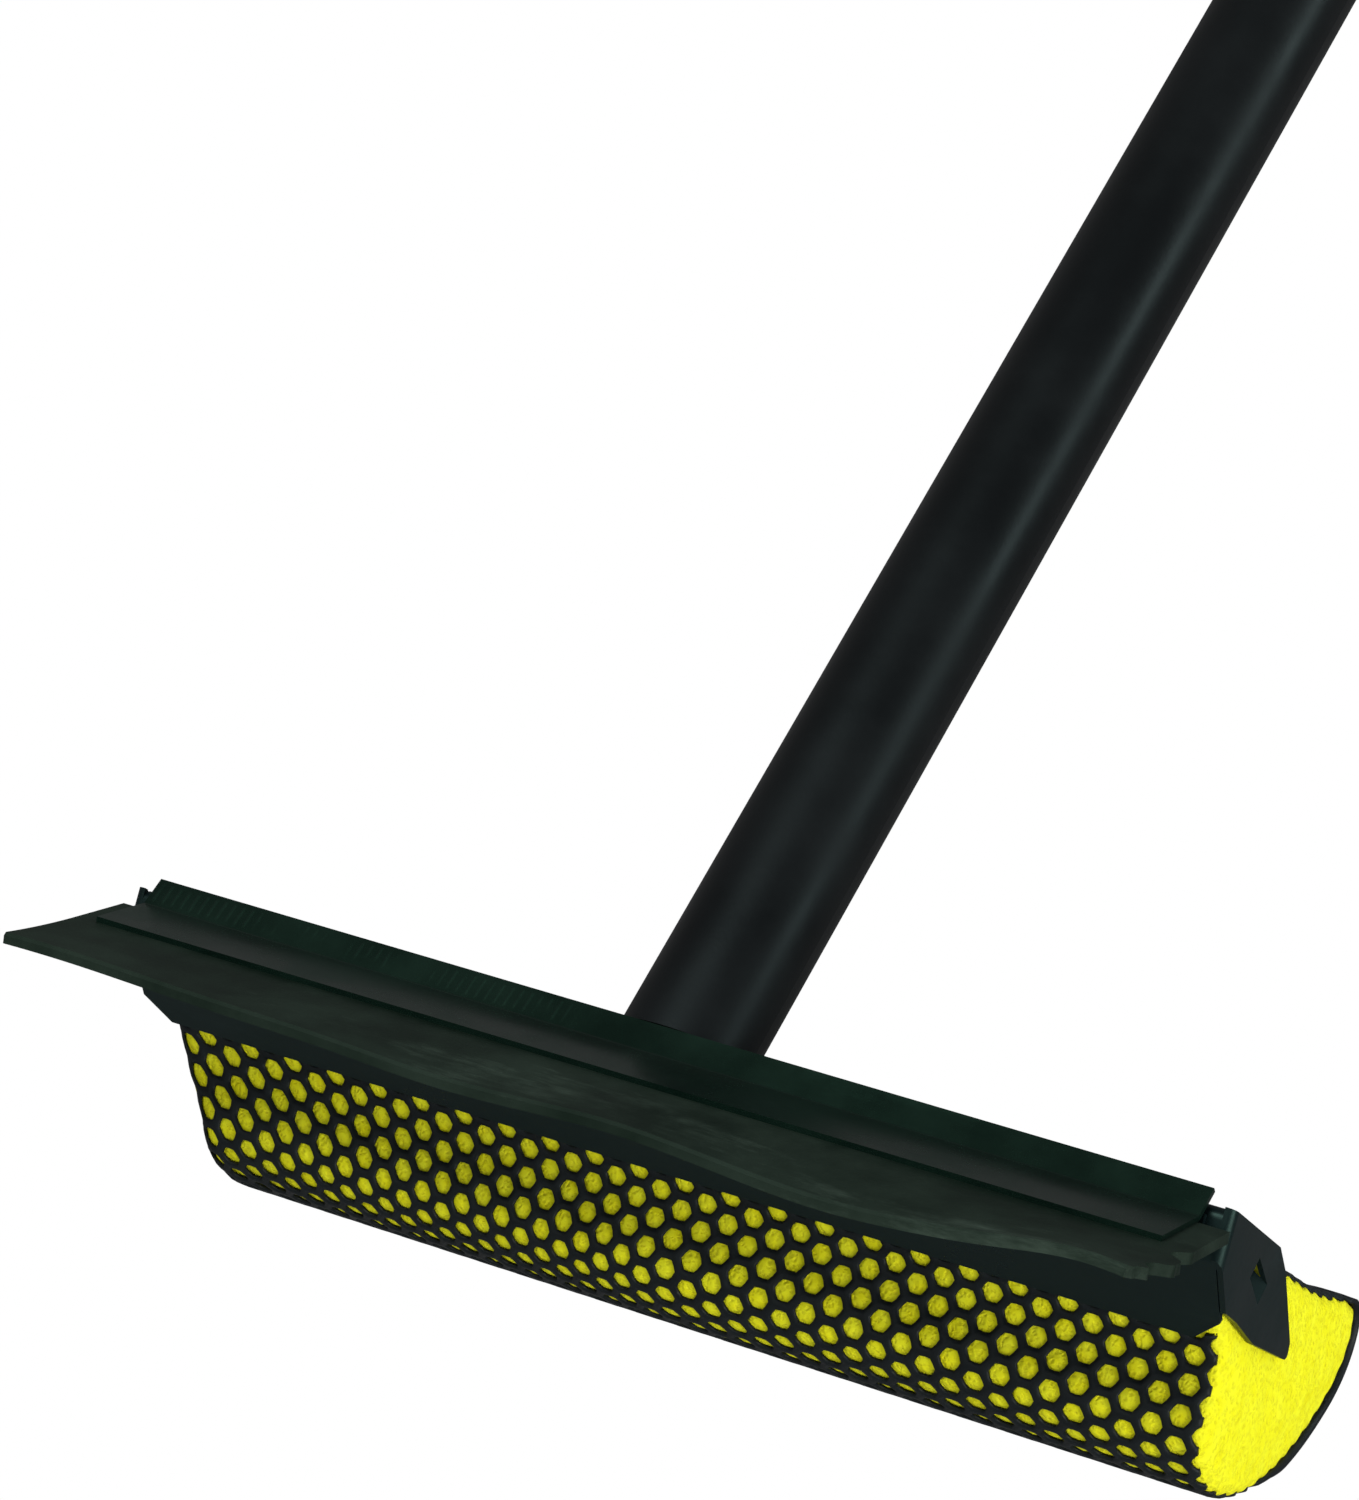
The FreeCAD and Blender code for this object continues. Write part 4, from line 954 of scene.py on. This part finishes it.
@dataclass
class WipingBlade:
    """The rubber blade, straight in its clamp and a little wavy at its free edge.

    The waves lean the free edge back, along X. The tears lengthen or cut the +X end,
    down the blade.
    """

    waves: tuple[Wave, ...] = (
        Wave(-96, 26, -1.0), Wave(-18, 20, 1.1), Wave(14, 12, -0.3), Wave(52, 22, 1.9),
        Wave(98, 16, -2.6))
    tears: tuple[Wave, ...] = (
        Wave(17.5, 1.6, -2.6), Wave(22.5, 2.2, 1.2), Wave(27.5, 1.8, -2.2),
        Wave(35.5, 4.0, -2.4))
    proud: float = 1.6
    nibble: float = 0.3
    nibble_rate: float = 1.9
    sharp: float = 35.0
    chamfer: float = 0.5 * MM
    across: int = 60
    step: float = 1.3 * MM

    def build(self, material: bpy.types.Material) -> bpy.types.Object:
        """Makes the blade.

        Args:
            material: the rubber's finish.

        Returns:
            The piece.
        """
        corners = Outline.of_node("blade_rubber").points
        sides = np.roll(corners, -1, axis=0) - corners
        longest = sides[int(np.argmax(np.hypot(*sides.T)))]
        down = longest / np.hypot(*longest) * (1.0 if longest[1] < 0 else -1.0)
        back = np.array([-down[1], down[0]])
        back = back if back[0] > 0 else -back
        deep, thick = corners @ down, corners @ back
        origin = down * deep.min() + back * thick.min()
        width, thickness = float(np.ptp(deep)), float(np.ptp(thick))
        lip = (origin[1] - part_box("clamp_strip")[0][2]) / abs(down[1])
        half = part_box("blade_rubber")[1][0]

        count = int(2 * half / self.step)
        share = np.linspace(-1.0, 1.0, count)
        reach = np.linspace(0.0, 1.0, self.across)
        rows = []
        for side in (0, 1):
            far = width - (self.chamfer if side == 0 else 0.0)
            a = np.broadcast_to(reach * far, (count, self.across))
            x = np.where(share[:, None] > 0, share[:, None] * self.right_end(a, half),
                         share[:, None] * half)
            lean = self.lean(x) * np.clip((a - lip) / (width - lip), 0.0, 1.0) ** 2
            depth = lean + (thickness if side else 0.0)
            flat = origin + a[..., None] * down + depth[..., None] * back
            rows.append(np.concatenate([x[..., None], flat], axis=-1))
        tip = rows[0][:, -1] + back_of(back) * self.chamfer + back_of(down) * self.chamfer
        front, behind = rows
        grid = np.concatenate([front, tip[:, None], behind[:, ::-1]], axis=1)
        around = grid.shape[1]
        faces = [(i * around + j, (i + 1) * around + j, (i + 1) * around + (j + 1) % around,
                  i * around + (j + 1) % around)
                 for i in range(count - 1) for j in range(around)]
        for base in (0, (count - 1) * around):
            faces += [(base + j, base + j + 1, base + around - 2 - j, base + around - 1 - j)
                      for j in range(self.across - 1)]
            faces.append((base + self.across - 1, base + self.across, base + self.across + 1))
        piece = make_piece("wiping_blade", grid.reshape(-1, 3), faces, material)
        piece.data.set_sharp_from_angle(angle=math.radians(self.sharp))
        return piece

    def lean(self, x: np.ndarray) -> np.ndarray:
        """How far the free edge leans back at places along the blade."""
        return sum(wave.over(x / MM) for wave in self.waves) * MM

    def right_end(self, deep: np.ndarray, half: float) -> np.ndarray:
        """Length of the blade's +X half, whose end was cut unevenly.

        Args:
            deep: distances down the blade from its clamped edge.
            half: the even half's length.

        Returns:
            The lengths.
        """
        down = deep / MM
        torn = self.proud + sum(tear.over(down) for tear in self.tears)
        bites = self.nibble * np.sin(down * self.nibble_rate) * smooth_step(down, 12.0, 18.0)
        return half + (torn + bites) * MM


def back_of(direction: np.ndarray) -> np.ndarray:
    """A direction of the section as one of the frame."""
    return np.array([0.0, *direction])


# ---- stage ----

@dataclass(frozen=True)
class Lamp:
    """A soft rectangular light.

    Its place is right, up and towards the camera from the head, in metres. The size is its
    two sides, and the power is in watts.
    """

    name: str
    place: tuple[float, float, float]
    size: tuple[float, float]
    power: float
    colour: Colour


@dataclass
class Studio:
    """Pale floor, soft lights and the camera."""

    centre: Vector = field(default_factory=lambda: Vector((0.0, 0.0, -0.495)))
    camera_place: Vector = field(default_factory=lambda: Vector((0.3831, -0.6939, -0.8673)))
    azimuth: float = 30.83
    elevation: float = -28.18
    roll: float = 30.6
    lens: float = 124.8
    sensor: float = 36.0
    clip: tuple[float, float] = (0.02, 50.0)
    floor_drop: float = 0.42
    floor_half: float = 4.0
    ambient: float = 0.17
    lamps: tuple[Lamp, ...] = (
        Lamp("key", (-0.5, 0.9, 0.9), (0.7, 0.7), 13.0, (0.92, 1.0, 0.96)),
        Lamp("fill", (0.7, -0.35, 0.8), (0.8, 0.5), 10.5, (0.96, 1.0, 0.94)),
        Lamp("strip", (1.1, 0.5, 0.1), (0.15, 1.2), 4.0, (0.85, 1.0, 0.97)))

    def aim(self) -> Matrix:
        """The camera's directions as a rotation."""
        a, e, r = (math.radians(v) for v in (self.azimuth, self.elevation, self.roll))
        back = Vector((math.sin(a) * math.cos(e), -math.cos(a) * math.cos(e), math.sin(e)))
        level = Vector((math.cos(a), math.sin(a), 0.0))
        over = back.cross(level)
        right = level * math.cos(r) + over * math.sin(r)
        up = over * math.cos(r) - level * math.sin(r)
        return Matrix((right, up, back)).transposed()

    def camera(self) -> None:
        """Adds the camera."""
        data = bpy.data.cameras.new("camera")
        data.lens = self.lens
        data.sensor_width = self.sensor
        data.clip_start, data.clip_end = self.clip
        camera = bpy.data.objects.new("camera", data)
        camera.matrix_world = Matrix.Translation(self.camera_place) @ self.aim().to_4x4()
        bpy.context.scene.collection.objects.link(camera)
        bpy.context.scene.camera = camera

    def hang(self, lamp: Lamp) -> None:
        """Adds a light, aimed at the head.

        Args:
            lamp: the light's sizes.
        """
        data = bpy.data.lights.new(lamp.name, "AREA")
        data.shape = "RECTANGLE"
        data.size, data.size_y = lamp.size
        data.energy, data.color = lamp.power, lamp.colour
        light = bpy.data.objects.new(lamp.name, data)
        light.location = self.centre + self.aim() @ Vector(lamp.place)
        light.rotation_mode = "QUATERNION"
        light.rotation_quaternion = (light.location - self.centre).to_track_quat("Z", "Y")
        bpy.context.scene.collection.objects.link(light)

    def floor(self) -> None:
        """Adds a plain pale floor."""
        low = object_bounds()[0].z - self.floor_drop
        far = self.floor_half
        mesh = bpy.data.meshes.new("floor")
        mesh.from_pydata([(-far, -far, low), (far, -far, low), (far, far, low),
                          (-far, far, low)], [], [(0, 1, 2, 3)])
        mesh.materials.append(Finish("floor_paint", (0.80, 0.80, 0.79), (0.84, 0.84, 0.83),
                                     0.7, 0.1, grain_scale=60.0, wear_scale=2.0).build())
        floor = bpy.data.objects.new("floor", mesh)
        bpy.context.scene.collection.objects.link(floor)
        floor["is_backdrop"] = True

    def sky(self) -> None:
        """A white surround that lights less than it shows."""
        world = bpy.data.worlds.new("surround")
        world.use_nodes = True
        world.node_tree.nodes.clear()
        graph = Graph(world.node_tree)
        seen = graph.node("ShaderNodeLightPath").outputs["Is Camera Ray"]
        strength = graph.spread(seen, 0.0, 1.0, self.ambient, 1.0)
        shade = graph.node("ShaderNodeBackground", {"Color": (1.0, 1.0, 1.0, 1.0),
                                                    "Strength": strength})
        graph.node("ShaderNodeOutputWorld", {"Surface": shade.outputs[0]})
        bpy.context.scene.world = world

    def build(self) -> None:
        """Sets up the whole stage."""
        self.camera()
        self.floor()
        self.sky()
        for lamp in self.lamps:
            self.hang(lamp)
        bpy.context.scene.view_settings.view_transform = "Standard"


# ---- the squeegee ----

@dataclass
class Squeegee:
    """All visible pieces of the tool, on its one body."""

    body: str = "root"
    skins: dict[Skin, bpy.types.Material] = field(default_factory=dict)

    def skin(self, choice: Skin) -> bpy.types.Material:
        """The material of a finish, built on its first use."""
        if choice not in self.skins:
            self.skins[choice] = choice.value.build()
        return self.skins[choice]

    def dress(self) -> None:
        """Gives each hard piece of the frame its finish."""
        choices = {
            "clamp_strip": Skin.PRESSED_PAINT, "jaw_strip": Skin.SHEET_PAINT,
            "channel": Skin.SHEET_PAINT, "handle_tube": Skin.HANDLE,
            "handle_socket": Skin.FITTING, "end_cap": Skin.FITTING,
            "socket_rivets": Skin.STEEL, "handle_screw": Skin.STEEL}
        for name, choice in choices.items():
            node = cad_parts[name]
            for slot in node.material_slots:
                slot.material = self.skin(choice)
            log.info("dressed %s as %s", name, choice.value.name)

    def stand_for(self, piece: bpy.types.Object, node: str) -> None:
        """Puts a piece on the body in place of a frame node, which it hides.

        Args:
            piece: the new piece.
            node: the node that it stands for.
        """
        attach(piece, self.body)
        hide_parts(node)
        log.info("%s: %d faces", piece.name, len(piece.data.polygons))

    def build(self) -> None:
        """Builds the pieces in order."""
        self.dress()
        self.stand_for(WipingBlade().build(self.skin(Skin.BLADE_RUBBER)), "blade_rubber")
        surface, pattern = SpongeSurface(), HexPattern()
        foam = WashingSponge(surface, pattern).build(self.skin(Skin.FOAM))
        self.stand_for(foam, "sponge")
        self.stand_for(HexNet(surface, pattern).build(self.skin(Skin.NET)), "sponge_net")


def main() -> None:
    """Builds the stage and the squeegee."""
    logging.basicConfig(level=logging.INFO, format="%(name)s: %(message)s")
    Studio().build()
    Squeegee().build()


if __name__ == "__main__":
    main()
